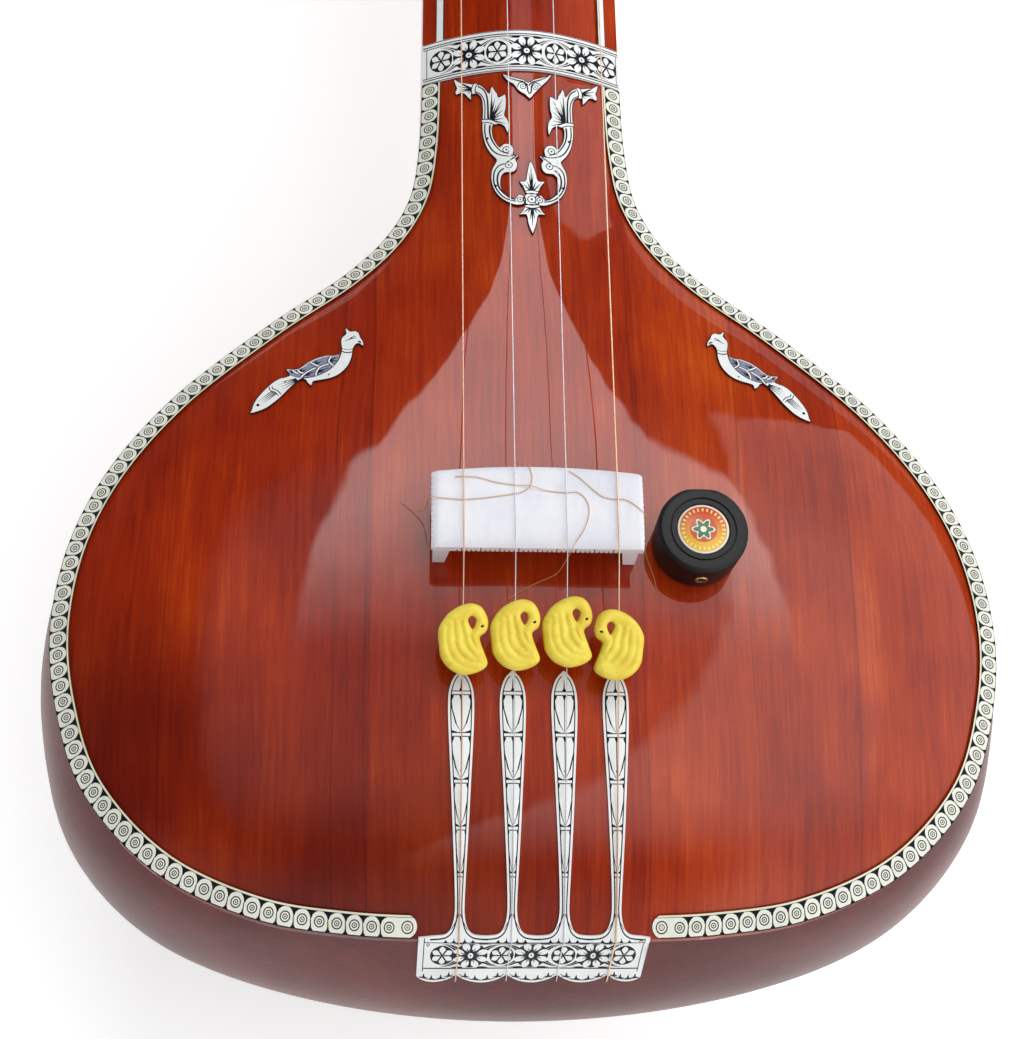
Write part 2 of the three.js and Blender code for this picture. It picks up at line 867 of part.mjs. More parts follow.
function plateProfile(x) {
  const rimY = rimYAt(x);
  const start = rimY + PLATE_FACE_LENGTH;
  const lobe = Math.abs(Math.sin((HALF_TURN * (x - firstStringX)) / STRING_SPACING));
  const drop = PLATE_DROP - PLATE_SCALLOP * (1 - lobe);
  const wall = plateDropShares.map((share) => [tailWallY(x, share * drop), BACK_TOP - share * drop]);
  return [[start, faceHeight(x, start)], [rimY, 0], [rimY, -EDGE_HEIGHT], ...wall];
}

// The same profile moved outwards, with its corners kept at the same distance.
function offsetProfile(x, profile, distance) {
  const turned = ([y0, z0], [y1, z1]) => new THREE.Vector2(z1 - z0, y0 - y1).normalize();
  return profile.map((point, i) => {
    const before = turned(profile[Math.max(i - 1, 0)], profile[Math.max(i, 1)]);
    const last = profile.length - 1;
    const after = turned(profile[Math.min(i, last - 1)], profile[Math.min(i + 1, last)]);
    const out = before.clone().add(after).normalize();
    const reach = distance / out.dot(before);
    return new THREE.Vector3(x, point[0] + out.x * reach, point[1] + out.y * reach);
  });
}

function tailPlateSolid() {
  const inner = [];
  const outer = [];
  for (let i = 0; i <= PLATE_COLUMNS; i += 1) {
    const x = lerp(-PLATE_HALF_WIDTH, PLATE_HALF_WIDTH, i / PLATE_COLUMNS);
    const profile = plateProfile(x);
    inner.push(offsetProfile(x, profile, SEAT_GAP));
    outer.push(offsetProfile(x, profile, SEAT_GAP + INLAY_THICKNESS));
  }
  const spoons = stringPlaces.map((x) =>
    ribbon(spoonShares.map(([share, half]) => [x, share * SPOON_TIP_AT, half * SPOON_HALF_WIDTH])),
  );
  return joined([slab(outer, inner), ...spoons]);
}

// Bridge: a bench whose top falls away gently at the front and at the back
function bridgeTopZ(y) {
  const share = (y - BRIDGE_AT) / (BRIDGE_DEPTH / 2);
  return BRIDGE_TOP - BRIDGE_CURVE_DROP * share ** 2;
}

function bridgeSolid() {
  const rows = bridgeRowShares.map((along) =>
    bridgeColumnShares.map((across) => {
      const bow = along === 1 ? BRIDGE_BOW * (1 - across ** 2) : 0;
      const y = BRIDGE_AT + (along * BRIDGE_DEPTH) / 2 + bow;
      return new THREE.Vector3(across * BRIDGE_HALF_WIDTH, y, bridgeTopZ(y));
    }),
  );
  const under = BRIDGE_TOP - BRIDGE_PLATE_THICKNESS;
  const plate = slab(
    rows,
    rows.map((row) => row.map((point) => new THREE.Vector3(point.x, point.y, under))),
  );
  const feet = [-1, 1].map((side) => {
    const reach = BRIDGE_DEPTH / 2 - BRIDGE_FOOT_INSET;
    const outer = BRIDGE_HALF_WIDTH - BRIDGE_FOOT_INSET / 2;
    const ends = [BRIDGE_AT - reach, BRIDGE_AT + reach];
    const top = ends.map((y) =>
      [outer, outer - BRIDGE_FOOT_WIDTH].map(
        (x) => new THREE.Vector3(side * x, y, under + BRIDGE_PLATE_THICKNESS / 4),
      ),
    );
    const bottom = ends.map((y) =>
      [outer, outer - BRIDGE_FOOT_TOE_WIDTH].map(
        (x) => new THREE.Vector3(side * x, y, faceHeight(x, y) + SEAT_GAP),
      ),
    );
    return slab(top, bottom);
  });
  return joined([plate, ...feet]);
}

// Nut and string guide: two bars across the neck, grooved and drilled for the strings
function barSolid(middle, length, topZ) {
  const rows = [middle - length / 2, middle + length / 2].map((y) =>
    neckFaceRow(y, NUT_SIDE_MARGIN),
  );
  const top = rows.map((row) => row.map(([x, y]) => new THREE.Vector3(x, y, topZ)));
  const bottom = rows.map((row) =>
    row.map(([x, y]) => new THREE.Vector3(x, y, faceHeight(x, y) + SEAT_GAP)),
  );
  return slab(top, bottom);
}

function stringAtNutZ(radius) {
  return NUT_TOP - NUT_GROOVE_DEPTH + SEAT_GAP + radius;
}

// Each string bends at the nut's front edge and again where it leaves the guide.
const nutFrontAt = NUT_AT - NUT_LENGTH / 2;
const guideExitAt = GUIDE_AT + GUIDE_LENGTH / 2;
const guideHoleZ = stringAtNutZ(STRING_RADII[0]) - GUIDE_HOLE_DROP;

function nutSolid() {
  const grooves = stringPlaces.map((x, i) => {
    const radius = STRING_RADII[i] + SEAT_GAP;
    const frontZ = stringAtNutZ(STRING_RADII[i]);
    const slope = (guideHoleZ - frontZ) / (guideExitAt - nutFrontAt);
    const middleZ = frontZ + (slope * NUT_LENGTH) / 2;
    const length = NUT_LENGTH + CUT_OVERRUN;
    return roundCutter(x, NUT_AT, middleZ, radius, length, Math.atan(slope));
  });
  return grooves.reduce((left, groove) => left.subtract(groove), barSolid(NUT_AT, NUT_LENGTH, NUT_TOP));
}

function guideSolid() {
  const holes = stringPlaces.map((x) =>
    roundCutter(x, GUIDE_AT, guideHoleZ, STRING_HOLE_RADIUS, GUIDE_LENGTH + CUT_OVERRUN),
  );
  return holes.reduce(
    (left, hole) => left.subtract(hole),
    barSolid(GUIDE_AT, GUIDE_LENGTH, GUIDE_TOP),
  );
}

// A cord of constant thickness along points, with flat ends.
function cordSolid(points, radius, sides) {
  const last = points.length - 1;
  const headings = points.map((point, i) =>
    points[Math.min(i + 1, last)].clone().sub(points[Math.max(i - 1, 0)]).normalize(),
  );
  const across = new THREE.Vector3(1, 0, 0);
  const rings = points.map((point, i) => {
    across.addScaledVector(headings[i], -across.dot(headings[i])).normalize();
    const side = new THREE.Vector3().crossVectors(headings[i], across);
    const ring = [];
    for (let k = 0; k < sides; k += 1) {
      const angle = (FULL_TURN * k) / sides;
      ring.push(
        point
          .clone()
          .addScaledVector(across, radius * Math.cos(angle))
          .addScaledVector(side, radius * Math.sin(angle)),
      );
    }
    return ring;
  });
  const skin = new Skin();
  skin.patch(rings.map((ring) => [...ring, ring[0]]));
  skin.fan(rings[0]);
  skin.fan([...rings[last]].reverse());
  return skin.solid();
}

// Pegs: a tapered shaft through both walls of the head, a collar and a turned grip
const windingReach =
  (PEG_SHAFT_RADIUS + SEAT_GAP + WINDING_RADIUS) / Math.cos(HALF_TURN / WINDING_STEPS);
// Each row is a share of the grip's radius and a share of its length.
const pegGripShares = [
  [0.45, 0.06],
  [0.62, 0.1],
  [0.62, 0.2],
  [0.42, 0.28],
  [0.85, 0.42],
  [1, 0.6],
  [0.9, 0.8],
  [0.5, 0.93],
  [0.2, 1],
];

function pegProfile(inside) {
  const tip = -inside - PEG_TIP_OUT;
  return [
    new THREE.Vector2(0, tip),
    new THREE.Vector2(PEG_TIP_RADIUS, tip),
    new THREE.Vector2(PEG_SHAFT_RADIUS, 0),
    new THREE.Vector2(PEG_SHAFT_RADIUS, PEG_NECK_LENGTH),
    ...pegGripShares.map(
      ([wide, share]) =>
        new THREE.Vector2(wide * PEG_HEAD_RADIUS, PEG_NECK_LENGTH + share * PEG_HEAD_LENGTH),
    ),
    new THREE.Vector2(0, PEG_NECK_LENGTH + PEG_HEAD_LENGTH),
  ];
}

function pegBore(inside) {
  const tip = -inside - PEG_TIP_OUT;
  const profile = [
    new THREE.Vector2(0, tip),
    new THREE.Vector2(PEG_TIP_RADIUS + PEG_CLEARANCE, tip),
    new THREE.Vector2(PEG_SHAFT_RADIUS + PEG_CLEARANCE, 0),
    new THREE.Vector2(PEG_SHAFT_RADIUS + PEG_CLEARANCE, PEG_NECK_LENGTH / 2),
    new THREE.Vector2(0, PEG_NECK_LENGTH / 2),
  ];
  return new THREE.LatheGeometry(profile, ROUND_STEPS);
}

// Least clear distance between a winding's turns, measured on its points.
function leastGap(points, radius) {
  let least = Infinity;
  for (let i = 0; i < points.length; i += 1) {
    for (let j = i + WINDING_STEPS / 2; j < points.length; j += 1) {
      least = Math.min(least, points[i].distanceTo(points[j]));
    }
  }
  return least - 2 * radius;
}

function windingPoints() {
  const points = [];
  for (let i = 0; i <= WINDING_TURNS * WINDING_STEPS; i += 1) {
    const turn = i / WINDING_STEPS;
    const angle = FULL_TURN * turn;
    points.push(
      new THREE.Vector3(
        windingReach * Math.cos(angle),
        WINDING_START + turn * WINDING_PITCH,
        windingReach * Math.sin(angle),
      ),
    );
  }
  return points;
}

console.log("least gap of a winding to itself:", leastGap(windingPoints(), WINDING_RADIUS), "mm");

// Strings 2 and 3 wind on the front pegs and strings 1 and 4 on the side pegs. A string
// passes just outside its winding, so the peg turns freely beside the string's end.
const besideWinding = STRING_RADII.map(
  (radius) => windingReach + WINDING_RADIUS + SEAT_GAP + radius,
);
const pegPlaces = [
  { y: SIDE_PEG_PLACES[0], side: -1 },
  { x: stringPlaces[1] - besideWinding[1], y: FRONT_PEG_PLACES[0], side: 0 },
  { x: stringPlaces[2] + besideWinding[2], y: FRONT_PEG_PLACES[1], side: 0 },
  { y: SIDE_PEG_PLACES[1], side: 1 },
].map((place) => {
  if (place.side === 0) {
    const surface = faceHeight(place.x, place.y);
    return {
      position: [place.x, place.y, surface],
      rotation: [QUARTER_TURN, 0, 0],
      inside: surface - BACK_TOP + neckDepth(place.y),
    };
  }
  const half = neckHalfWidth(place.y);
  return {
    position: [place.side * half, place.y, BACK_TOP - SIDE_PEG_DEPTH + EDGE_HEIGHT],
    rotation: [0, 0, -place.side * QUARTER_TURN],
    inside: 2 * half,
  };
});

function drilledForPegs(body) {
  return pegPlaces.reduce(
    (left, { position, rotation, inside }) =>
      left.subtract(movedSolid(pegBore(inside), position, rotation)),
    body,
  );
}

// String routes, from the anchor in the tail block to the peg
function heightAboveLine(a, b, point) {
  const share = (point.y - a.y) / (b.y - a.y);
  return point.z - lerp(a.z, b.z, share);
}

// The taut line over a row of points, which leaves out each point that it passes above.
function taut(points) {
  const kept = [];
  for (const point of points) {
    while (kept.length > 1 && heightAboveLine(kept.at(-2), point, kept.at(-1)) <= 0) {
      kept.pop();
    }
    kept.push(point);
  }
  return kept;
}

const bridgeLift = SEAT_GAP + 2 * THREAD_RADIUS + SEAT_GAP;

function tautPart(index) {
  const x = stringPlaces[index];
  const radius = STRING_RADII[index];
  const lift = SEAT_GAP + INLAY_THICKNESS + SEAT_GAP + radius;
  const edge = offsetProfile(x, plateProfile(x), lift);
  const places = [];
  for (let i = 1; i <= FACE_STRING_STEPS; i += 1) {
    const y = (SPOON_TIP_AT * i) / FACE_STRING_STEPS;
    places.push(new THREE.Vector3(x, y, faceHeight(x, y) + lift));
  }
  const bridgePoints = bridgeRowShares.map((share) => {
    const y = BRIDGE_AT + (share * BRIDGE_DEPTH) / 2;
    return new THREE.Vector3(x, y, bridgeTopZ(y) + bridgeLift + radius);
  });
  const nutPoint = new THREE.Vector3(x, nutFrontAt, stringAtNutZ(radius));
  return { wall: edge.slice(1).reverse(), line: taut([edge[1], ...places, ...bridgePoints, nutPoint]) };
}

function stringPoints(index) {
  const x = stringPlaces[index];
  const radius = STRING_RADII[index];
  const { wall, line } = tautPart(index);
  const outside = wall[0].clone().setZ(anchorZ);
  const anchor = new THREE.Vector3(x, ANCHOR_REACH, anchorZ);
  const guide = new THREE.Vector3(x, guideExitAt, guideHoleZ);
  const { position } = pegPlaces[index];
  const isSide = index === 0 || index === pegPlaces.length - 1;
  const side = index === 0 ? -1 : 1;
  const end = isSide
    ? new THREE.Vector3(
        position[0] + side * WINDING_START,
        position[1],
        position[2] + besideWinding[index],
      )
    : new THREE.Vector3(x, position[1], position[2] + WINDING_START);
  return [anchor, outside, ...wall.slice(0, -1), ...line, guide, end];
}

// Swan beads: a flat swan with its neck curled round an opening
const swanShares = [
  [0.171, 0.5],
  [0.338, 0.463],
  [0.445, 0.367],
  [0.5, 0.227],
  [0.46, 0.108],
  [0.338, 0.029],
  [0.36, -0.063],
  [0.43, -0.192],
  [0.494, -0.343],
  [0.4, -0.424],
  [0.08, -0.5],
  [-0.134, -0.472],
  [-0.317, -0.386],
  [-0.44, -0.257],
  [-0.476, -0.106],
  [-0.5, 0.109],
  [-0.454, 0.205],
  [-0.317, 0.345],
  [-0.134, 0.442],
  [0.018, 0.485],
];
const swanOpeningShares = [
  [0.095, 0.28],
  [0.17, 0.325],
  [0.247, 0.29],
  [0.255, 0.235],
  [0.185, 0.14],
  [0.12, 0.2],
];

function swanSolid(side) {
  const sized = (shares) =>
    shares.map(([across, up]) => new THREE.Vector2(side * across * BEAD_WIDTH, up * BEAD_HEIGHT));
  const shape = new THREE.Shape(sized(swanShares));
  const depth = BEAD_THICKNESS - 2 * BEAD_ROUNDING;
  const body = new THREE.ExtrudeGeometry(shape, {
    depth,
    bevelThickness: BEAD_ROUNDING,
    bevelSize: BEAD_ROUNDING,
    bevelOffset: -BEAD_ROUNDING,
    bevelSegments: 2,
  });
  const opening = new THREE.ExtrudeGeometry(new THREE.Shape(sized(swanOpeningShares)), {
    depth: BEAD_THICKNESS + CUT_OVERRUN,
    bevelEnabled: false,
  });
  const through = -(BEAD_THICKNESS + CUT_OVERRUN) / 2;
  return movedSolid(body, [0, 0, -depth / 2])
    .subtract(movedSolid(opening, [0, 0, through]))
    .subtract(roundCutter(0, 0, 0, BEAD_BORE_RADIUS, BEAD_HEIGHT + CUT_OVERRUN));
}

// Each bead hangs on the straight stretch of its string below the bridge.
function beadPlace(index) {
  const { line } = tautPart(index);
  const after = line.findIndex((point) => point.y > BEAD_PLACES[index]);
  const [a, b] = [line[after - 1], line[after]];
  const share = (BEAD_PLACES[index] - a.y) / (b.y - a.y);
  return { position: a.clone().lerp(b, share), lean: Math.atan2(b.z - a.z, b.y - a.y) };
}

// Surface pickup: a round housing with a recessed label and a socket in its side
function pickupBodySolid() {
  const top = PICKUP_HEIGHT;
  const recess = PICKUP_LABEL_RADIUS + SEAT_GAP;
  const profile = [
    new THREE.Vector2(0, 0),
    new THREE.Vector2(PICKUP_RADIUS - PICKUP_CHAMFER, 0),
    new THREE.Vector2(PICKUP_RADIUS, PICKUP_CHAMFER),
    new THREE.Vector2(PICKUP_RADIUS, top - PICKUP_CHAMFER),
    new THREE.Vector2(PICKUP_RADIUS - PICKUP_CHAMFER, top),
    new THREE.Vector2(recess, top),
    new THREE.Vector2(recess, top - PICKUP_RECESS),
    new THREE.Vector2(0, top - PICKUP_RECESS),
  ];
  const hole = roundCutter(
    0,
    -PICKUP_RADIUS,
    top / 2,
    SOCKET_RADIUS + SEAT_GAP,
    2 * SOCKET_LENGTH + 2 * SEAT_GAP,
  );
  const turned = new THREE.LatheGeometry(profile, PICKUP_STEPS);
  return movedSolid(turned, [0, 0, 0], [QUARTER_TURN, 0, 0]).subtract(hole);
}

function socketSolid() {
  const profile = [
    new THREE.Vector2(SOCKET_BORE_RADIUS, -SOCKET_LENGTH / 2),
    new THREE.Vector2(SOCKET_RADIUS, -SOCKET_LENGTH / 2),
    new THREE.Vector2(SOCKET_RADIUS, SOCKET_LENGTH / 2),
    new THREE.Vector2(SOCKET_BORE_RADIUS, SOCKET_LENGTH / 2),
    new THREE.Vector2(SOCKET_BORE_RADIUS, -SOCKET_LENGTH / 2),
  ];
  return solidFrom(new THREE.LatheGeometry(profile, ROUND_STEPS));
}

// Loose threads. Each point of a route gives its height, or the surface that it lies
// on, then x and y. The points are chosen by hand.
const ON_BRIDGE = "bridge";
const ON_FACE = "face";
const threadRoutes = [
  [
    [ON_BRIDGE, -35.6, 187.9],
    [ON_BRIDGE, -26.5, 187.8],
    [ON_BRIDGE, -18.6, 185.6],
    [ON_BRIDGE, -11.3, 184.4],
    [ON_BRIDGE, -8, 184.1],
    [56.4, -3.3, 183.5],
    [ON_BRIDGE, 3.9, 181.7],
    [ON_BRIDGE, 11.9, 180.9],
    [ON_BRIDGE, 17, 181.1],
    [ON_BRIDGE, 20.5, 178],
    [ON_BRIDGE, 21.8, 172.6],
    [ON_BRIDGE, 19.8, 164.8],
    [ON_BRIDGE, 16.4, 159.3],
    [54.7, 14.9, 156.9],
    [53.2, 14.2, 155.6],
    [47, 13.4, 155.2],
    [40, 12.4, 154.9],
    [33, 11.2, 154.4],
    [29, 9.4, 153.4],
    [ON_FACE, 6.4, 152.2],
    [ON_FACE, 0.5, 149.5],
    [ON_FACE, -6.9, 145.2],
    [ON_FACE, -11.4, 142.2],
  ],
  [
    [ON_FACE, -57.8, 187.3],
    [ON_FACE, -54.5, 184.4],
    [29.6, -51.2, 182],
    [33, -48.9, 180.6],
    [41, -47.6, 179.6],
    [49, -47, 178.8],
    [53.8, -46.6, 178.4],
    [55.6, -45.4, 178.1],
    [ON_BRIDGE, -43.4, 177.8],
    [ON_BRIDGE, -38.8, 177.4],
    [ON_BRIDGE, -32.3, 177],
    [ON_BRIDGE, -24.4, 177.7],
    [ON_BRIDGE, -11.4, 179.8],
    [ON_BRIDGE, -6.3, 181.1],
    [ON_BRIDGE, -3.3, 183.9],
    [ON_BRIDGE, -2.3, 188.6],
    [ON_BRIDGE, -3, 191.6],
    [54.3, -3.4, 193.6],
    [52.4, -3.7, 194.9],
    [46, -4, 195.3],
    [38, -4.3, 195.8],
    [31.5, -4.6, 197],
    [28.4, -4.9, 199.4],
    [ON_FACE, -5.2, 202.6],
    [ON_FACE, -5.7, 207],
  ],
  [
    [ON_BRIDGE, 13.6, 191.4],
    [ON_BRIDGE, 17.9, 188.4],
    [ON_BRIDGE, 22.8, 183.5],
    [ON_BRIDGE, 27.8, 179.3],
    [ON_BRIDGE, 33.6, 178.1],
    [ON_BRIDGE, 37.3, 178.1],
    [ON_BRIDGE, 41.6, 175.6],
    [ON_BRIDGE, 43.6, 173.8],
    [55.5, 45.3, 172.3],
    [53.8, 46.6, 171.5],
    [48, 47.1, 171],
    [40, 47.4, 170.6],
    [32, 48, 169.6],
    [28.6, 48.7, 167.4],
    [ON_FACE, 49.6, 163.6],
    [ON_FACE, 51.2, 158],
    [ON_FACE, 52.8, 152.6],
    [ON_FACE, 53.6, 147.7],
  ],
];

function threadSolid(route) {
  const lift = SEAT_GAP + THREAD_RADIUS;
  const points = route.map(([where, x, y]) => {
    const over = where === ON_BRIDGE ? bridgeTopZ(y) + lift : faceHeight(x, y) + lift;
    return new THREE.Vector3(x, y, typeof where === "number" ? where : over);
  });
  const curve = new THREE.CatmullRomCurve3(points);
  const steps = THREAD_DIVISIONS * (points.length - 1);
  return cordSolid(curve.getPoints(steps), THREAD_RADIUS, CORD_SIDES);
}

// Materials
function finish(color, roughness, metalness = 0) {
  return new THREE.MeshStandardMaterial({ color, roughness, metalness });
}

const varnishedGourd = finish(0x6e2a1f, 0.25);
const varnishedWood = finish(0x9a3413, 0.2);
const darkWood = finish(0x4a1d12, 0.35);
const rawWood = finish(0xb98d5c, 0.8);
const engravedPlate = finish(0xe9e6da, 0.4);
const bone = finish(0xf2f0ec, 0.45);
const beadPlastic = finish(0xe8cf3a, 0.45);
const blackPlastic = finish(0x17171a, 0.5);
const labelPaper = finish(0xd88a2a, 0.4);
const brass = finish(0xc9a24a, 0.3, 1);
const steel = finish(0xcfd2d6, 0.25, 1);
const bronze = finish(0xb87a4c, 0.3, 1);
const thread = finish(0xb58a4a, 0.8);
const stringMaterials = [bronze, steel, steel, brass];

function node(name, body, material) {
  const geometry = body.isBufferGeometry ? body : geometryFrom(body);
  const mesh = new THREE.Mesh(geometry, material);
  mesh.name = name;
  return mesh;
}

// The instrument rests on the gourd and on the head's end. The floor's slope under it
// is found from the lowest places of the back, each worn flat by a little.
const headContact = new THREE.Vector3(0, HEAD_END_AT, BACK_TOP - HEAD_DEPTH + HEAD_FLAT_DEPTH);
let floorSlope = 0;
let gourdContact = headContact;
for (let round = 0; round < FLOOR_ROUNDS; round += 1) {
  const lowness = (point) => point.y * floorSlope - point.z;
  gourdContact = back
    .getSpacedPoints(CURVE_DIVISIONS)
    .reduce((best, point) => (lowness(point) > lowness(best) ? point : best));
  const rise = headContact.z - (gourdContact.z + BACK_TOP + FLAT_DEPTH);
  floorSlope = rise / (headContact.y - gourdContact.y);
}
const tilt = Math.atan(floorSlope);

function cutByFloor(body) {
  const size = 2 * HEAD_END_AT;
  const block = new THREE.BoxGeometry(size, size, GOURD_DEPTH);
  const down = new THREE.Vector3(0, Math.sin(tilt), -Math.cos(tilt));
  const middle = headContact.clone().addScaledVector(down, GOURD_DEPTH / 2);
  return body.subtract(movedSolid(block, middle.toArray(), [tilt, 0, 0]));
}

const instrument = new THREE.Group();

// Body
const gourd = gourdSolid(0, 0).subtract(gourdSolid(GOURD_WALL, CUT_OVERRUN));
const collar = collarSolid(0, 0, 0).subtract(collarSolid(NECK_WALL, CUT_OVERRUN, CUT_OVERRUN));
instrument.add(
  node("gourd", drilledForStrings(cutByFloor(gourd)), varnishedGourd),
  node("neck_joint", collar, varnishedWood),
  node("tail_block", drilledForStrings(tailBlockSolid()), rawWood),
  node("soundboard", soundboardSolid(), varnishedWood),
);

// Neck and head
const neckHollow = neckSolid(neckStart - CUT_OVERRUN, HEAD_AT + CUT_OVERRUN, NECK_WALL, CUT_OVERRUN);
const headHollow = neckSolid(
  headStart - CUT_OVERRUN,
  HEAD_END_AT + CUT_OVERRUN,
  NECK_WALL,
  CUT_OVERRUN,
);
const blockInset = NECK_WALL + SEAT_GAP;
const neckBlock = neckSolid(
  BODY_LENGTH - NECK_BLOCK_LENGTH / 2,
  BODY_LENGTH + NECK_BLOCK_LENGTH / 2,
  blockInset,
  0,
);
const headShell = neckSolid(headStart, HEAD_END_AT, 0, 0).subtract(headHollow);
instrument.add(
  node("neck_back", neckSolid(neckStart, HEAD_AT, 0, 0).subtract(neckHollow), varnishedWood),
  node("neck_block", neckBlock, rawWood),
  node("neck_face", facePlateSolid(neckStart, HEAD_AT, NECK_ROWS), varnishedWood),
  node("head_back", cutByFloor(drilledForPegs(headShell)), varnishedWood),
  node("head_face", drilledForPegs(facePlateSolid(headStart, HEAD_END_AT, HEAD_ROWS)), varnishedWood),
  node("head_cap", cutByFloor(capSolid()), darkWood),
);

// Inlays and ornaments
for (const [name, side] of [["left", -1], ["right", 1]]) {
  instrument.add(
    node(`rim_strip_${name}`, rimStripSolid(side), engravedPlate),
    node(`neck_line_${name}`, neckLineSolid(side), engravedPlate),
    node(`bird_${name}`, birdSolid(side), engravedPlate),
  );
}
instrument.add(
  node("neck_band", bandSolid(), engravedPlate),
  node("scroll_ornament", scrollSolid(), engravedPlate),
  node("crest_ornament", ribbon(scrollPath(crestShares, 1), broadColumnShares), engravedPlate),
  node("tail_plate", tailPlateSolid(), engravedPlate),
);

// Bridge, nut, guide and threads
instrument.add(
  node("bridge", bridgeSolid(), bone),
  node("nut", nutSolid(), bone),
  node("string_guide", guideSolid(), bone),
);
threadRoutes.forEach((route, i) => {
  instrument.add(node(`thread_${i + 1}`, threadSolid(route), thread));
});

// Strings, beads and pegs
STRING_RADII.forEach((radius, i) => {
  const number = i + 1;
  const cord = cordSolid(stringPoints(i), radius, CORD_SIDES);
  instrument.add(node(`string_${number}`, cord, stringMaterials[i]));

  const { position, lean } = beadPlace(i);
  const bead = node(`bead_${number}`, swanSolid(i === BEAD_PLACES.length - 1 ? -1 : 1), beadPlastic);
  bead.position.copy(position);
  bead.rotation.x = lean;
  instrument.add(bead);

  const pegGroup = new THREE.Group();
  const place = pegPlaces[i];
  pegGroup.position.set(...place.position);
  pegGroup.rotation.set(...place.rotation);
  const turned = new THREE.LatheGeometry(pegProfile(place.inside), ROUND_STEPS);
  const winding = cordSolid(windingPoints(), WINDING_RADIUS, WINDING_SIDES);
  pegGroup.add(
    node(`peg_${number}`, solidFrom(turned), darkWood),
    node(`winding_${number}`, winding, stringMaterials[i]),
  );
  instrument.add(pegGroup);
});

// Pickup, square to the soundboard under it
const pickup = new THREE.Group();
const slopeX =
  faceHeight(PICKUP_OFFSET + PICKUP_RADIUS, PICKUP_AT) -
  faceHeight(PICKUP_OFFSET - PICKUP_RADIUS, PICKUP_AT);
pickup.position.set(PICKUP_OFFSET, PICKUP_AT, faceHeight(PICKUP_OFFSET, PICKUP_AT) + SEAT_GAP);
pickup.rotation.y = -Math.atan(slopeX / (2 * PICKUP_RADIUS));
const labelRadius = PICKUP_LABEL_RADIUS;
const disc = new THREE.CylinderGeometry(labelRadius, labelRadius, LABEL_THICKNESS, PICKUP_STEPS);
const label = node("pickup_label", solidFrom(disc), labelPaper);
label.position.z = PICKUP_HEIGHT - PICKUP_RECESS + SEAT_GAP + LABEL_THICKNESS / 2;
label.rotation.x = QUARTER_TURN;
const socket = node("pickup_socket", socketSolid(), brass);
socket.position.set(0, SOCKET_LENGTH / 2 - PICKUP_RADIUS, PICKUP_HEIGHT / 2);
pickup.add(node("pickup_body", pickupBodySolid(), blackPlastic), label, socket);
instrument.add(pickup);

// Laid down: turned until both contacts touch the floor, and centred over the origin
instrument.rotation.x = -tilt;
instrument.updateMatrixWorld(true);
const bounds = new THREE.Box3().setFromObject(instrument, true);
const centre = bounds.getCenter(new THREE.Vector3());
instrument.position.set(-centre.x, -centre.y, -bounds.min.z);

const tanpura = new THREE.Group();
tanpura.add(instrument);

export default tanpura;
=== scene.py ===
import json
import math

import bpy
import numpy as np
from mathutils import Matrix, Vector
from mathutils.geometry import delaunay_2d_cdt

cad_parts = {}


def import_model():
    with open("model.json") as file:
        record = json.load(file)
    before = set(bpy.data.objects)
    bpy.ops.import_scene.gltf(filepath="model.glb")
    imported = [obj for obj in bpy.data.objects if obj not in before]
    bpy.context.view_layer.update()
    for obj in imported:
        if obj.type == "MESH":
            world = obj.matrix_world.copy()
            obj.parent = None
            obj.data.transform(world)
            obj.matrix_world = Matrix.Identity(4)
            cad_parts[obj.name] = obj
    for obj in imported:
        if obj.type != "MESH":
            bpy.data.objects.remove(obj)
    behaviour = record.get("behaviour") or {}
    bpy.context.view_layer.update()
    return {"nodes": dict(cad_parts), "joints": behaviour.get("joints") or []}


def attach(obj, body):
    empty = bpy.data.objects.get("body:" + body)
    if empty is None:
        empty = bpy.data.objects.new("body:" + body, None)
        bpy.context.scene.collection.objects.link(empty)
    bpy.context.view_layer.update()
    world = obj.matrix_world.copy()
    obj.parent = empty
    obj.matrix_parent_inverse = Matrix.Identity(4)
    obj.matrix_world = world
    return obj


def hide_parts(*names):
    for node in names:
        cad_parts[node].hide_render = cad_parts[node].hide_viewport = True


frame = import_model()

# Lengths are in millimetres of the instrument's own frame: the tail edge at y = 0, the
# neck along +Y, the rim in the plane z = 0. world() lays it down as the CAD has it.
GAP = 0.3
BODY_LENGTH, WIDEST_AT, BODY_HALF, NECK_HALF = 424, 134, 210.5, 49
GOURD_DEPTH, GOURD_WALL, BOTTOM_AT, TAIL_BULGE, TAIL_BULGE_DEPTH = 268, 5, 150, 19, 76
COLLAR_START = 0.79
EDGE, CROWN_RISE, CROWN_REACH, BOARD = 6, 30, 50, 4.5
NECK_DEPTH, NECK_WALL, HEAD_AT, HEAD_END = 66, 8, 1205, 1440
HEAD_HALF, HEAD_DEPTH, CAP_LENGTH = 42, 56, 16
BACK_TOP = -EDGE - GAP
BRIDGE_AT, BRIDGE_HALF, BRIDGE_DEPTH, BRIDGE_TOP = 173.7, 45.5, 34, 55.2
NUT_AT, NUT_LENGTH, NUT_TOP, GUIDE_AT, GUIDE_LENGTH = 1180, 7, 25, 1196, 4
STRING_SPACING = 22
STRING_X = [1.2 + STRING_SPACING * (i - 1.5) for i in range(4)]
STRING_RADII = [0.4, 0.3, 0.3, 0.45]
ANCHOR_Z = BACK_TOP - 32
INLAY, STRIP_WIDTH = 0.9, 9
PLATE_HALF, PLATE_DROP, PLATE_SCALLOP, SPOON_TIP = 48.8, 33, 3.5, 110
BEAD_AT = [118.4, 120.3, 121.8, 116.7]
PEG_YS, PEG_Z = [1258, 1290, 1345, 1392], BACK_TOP - 8
PEG_NECK, PEG_GRIP, PEG_SHAFT, PEG_TIP, PEG_HEAD = 26, 46, 7, 5.2, 17
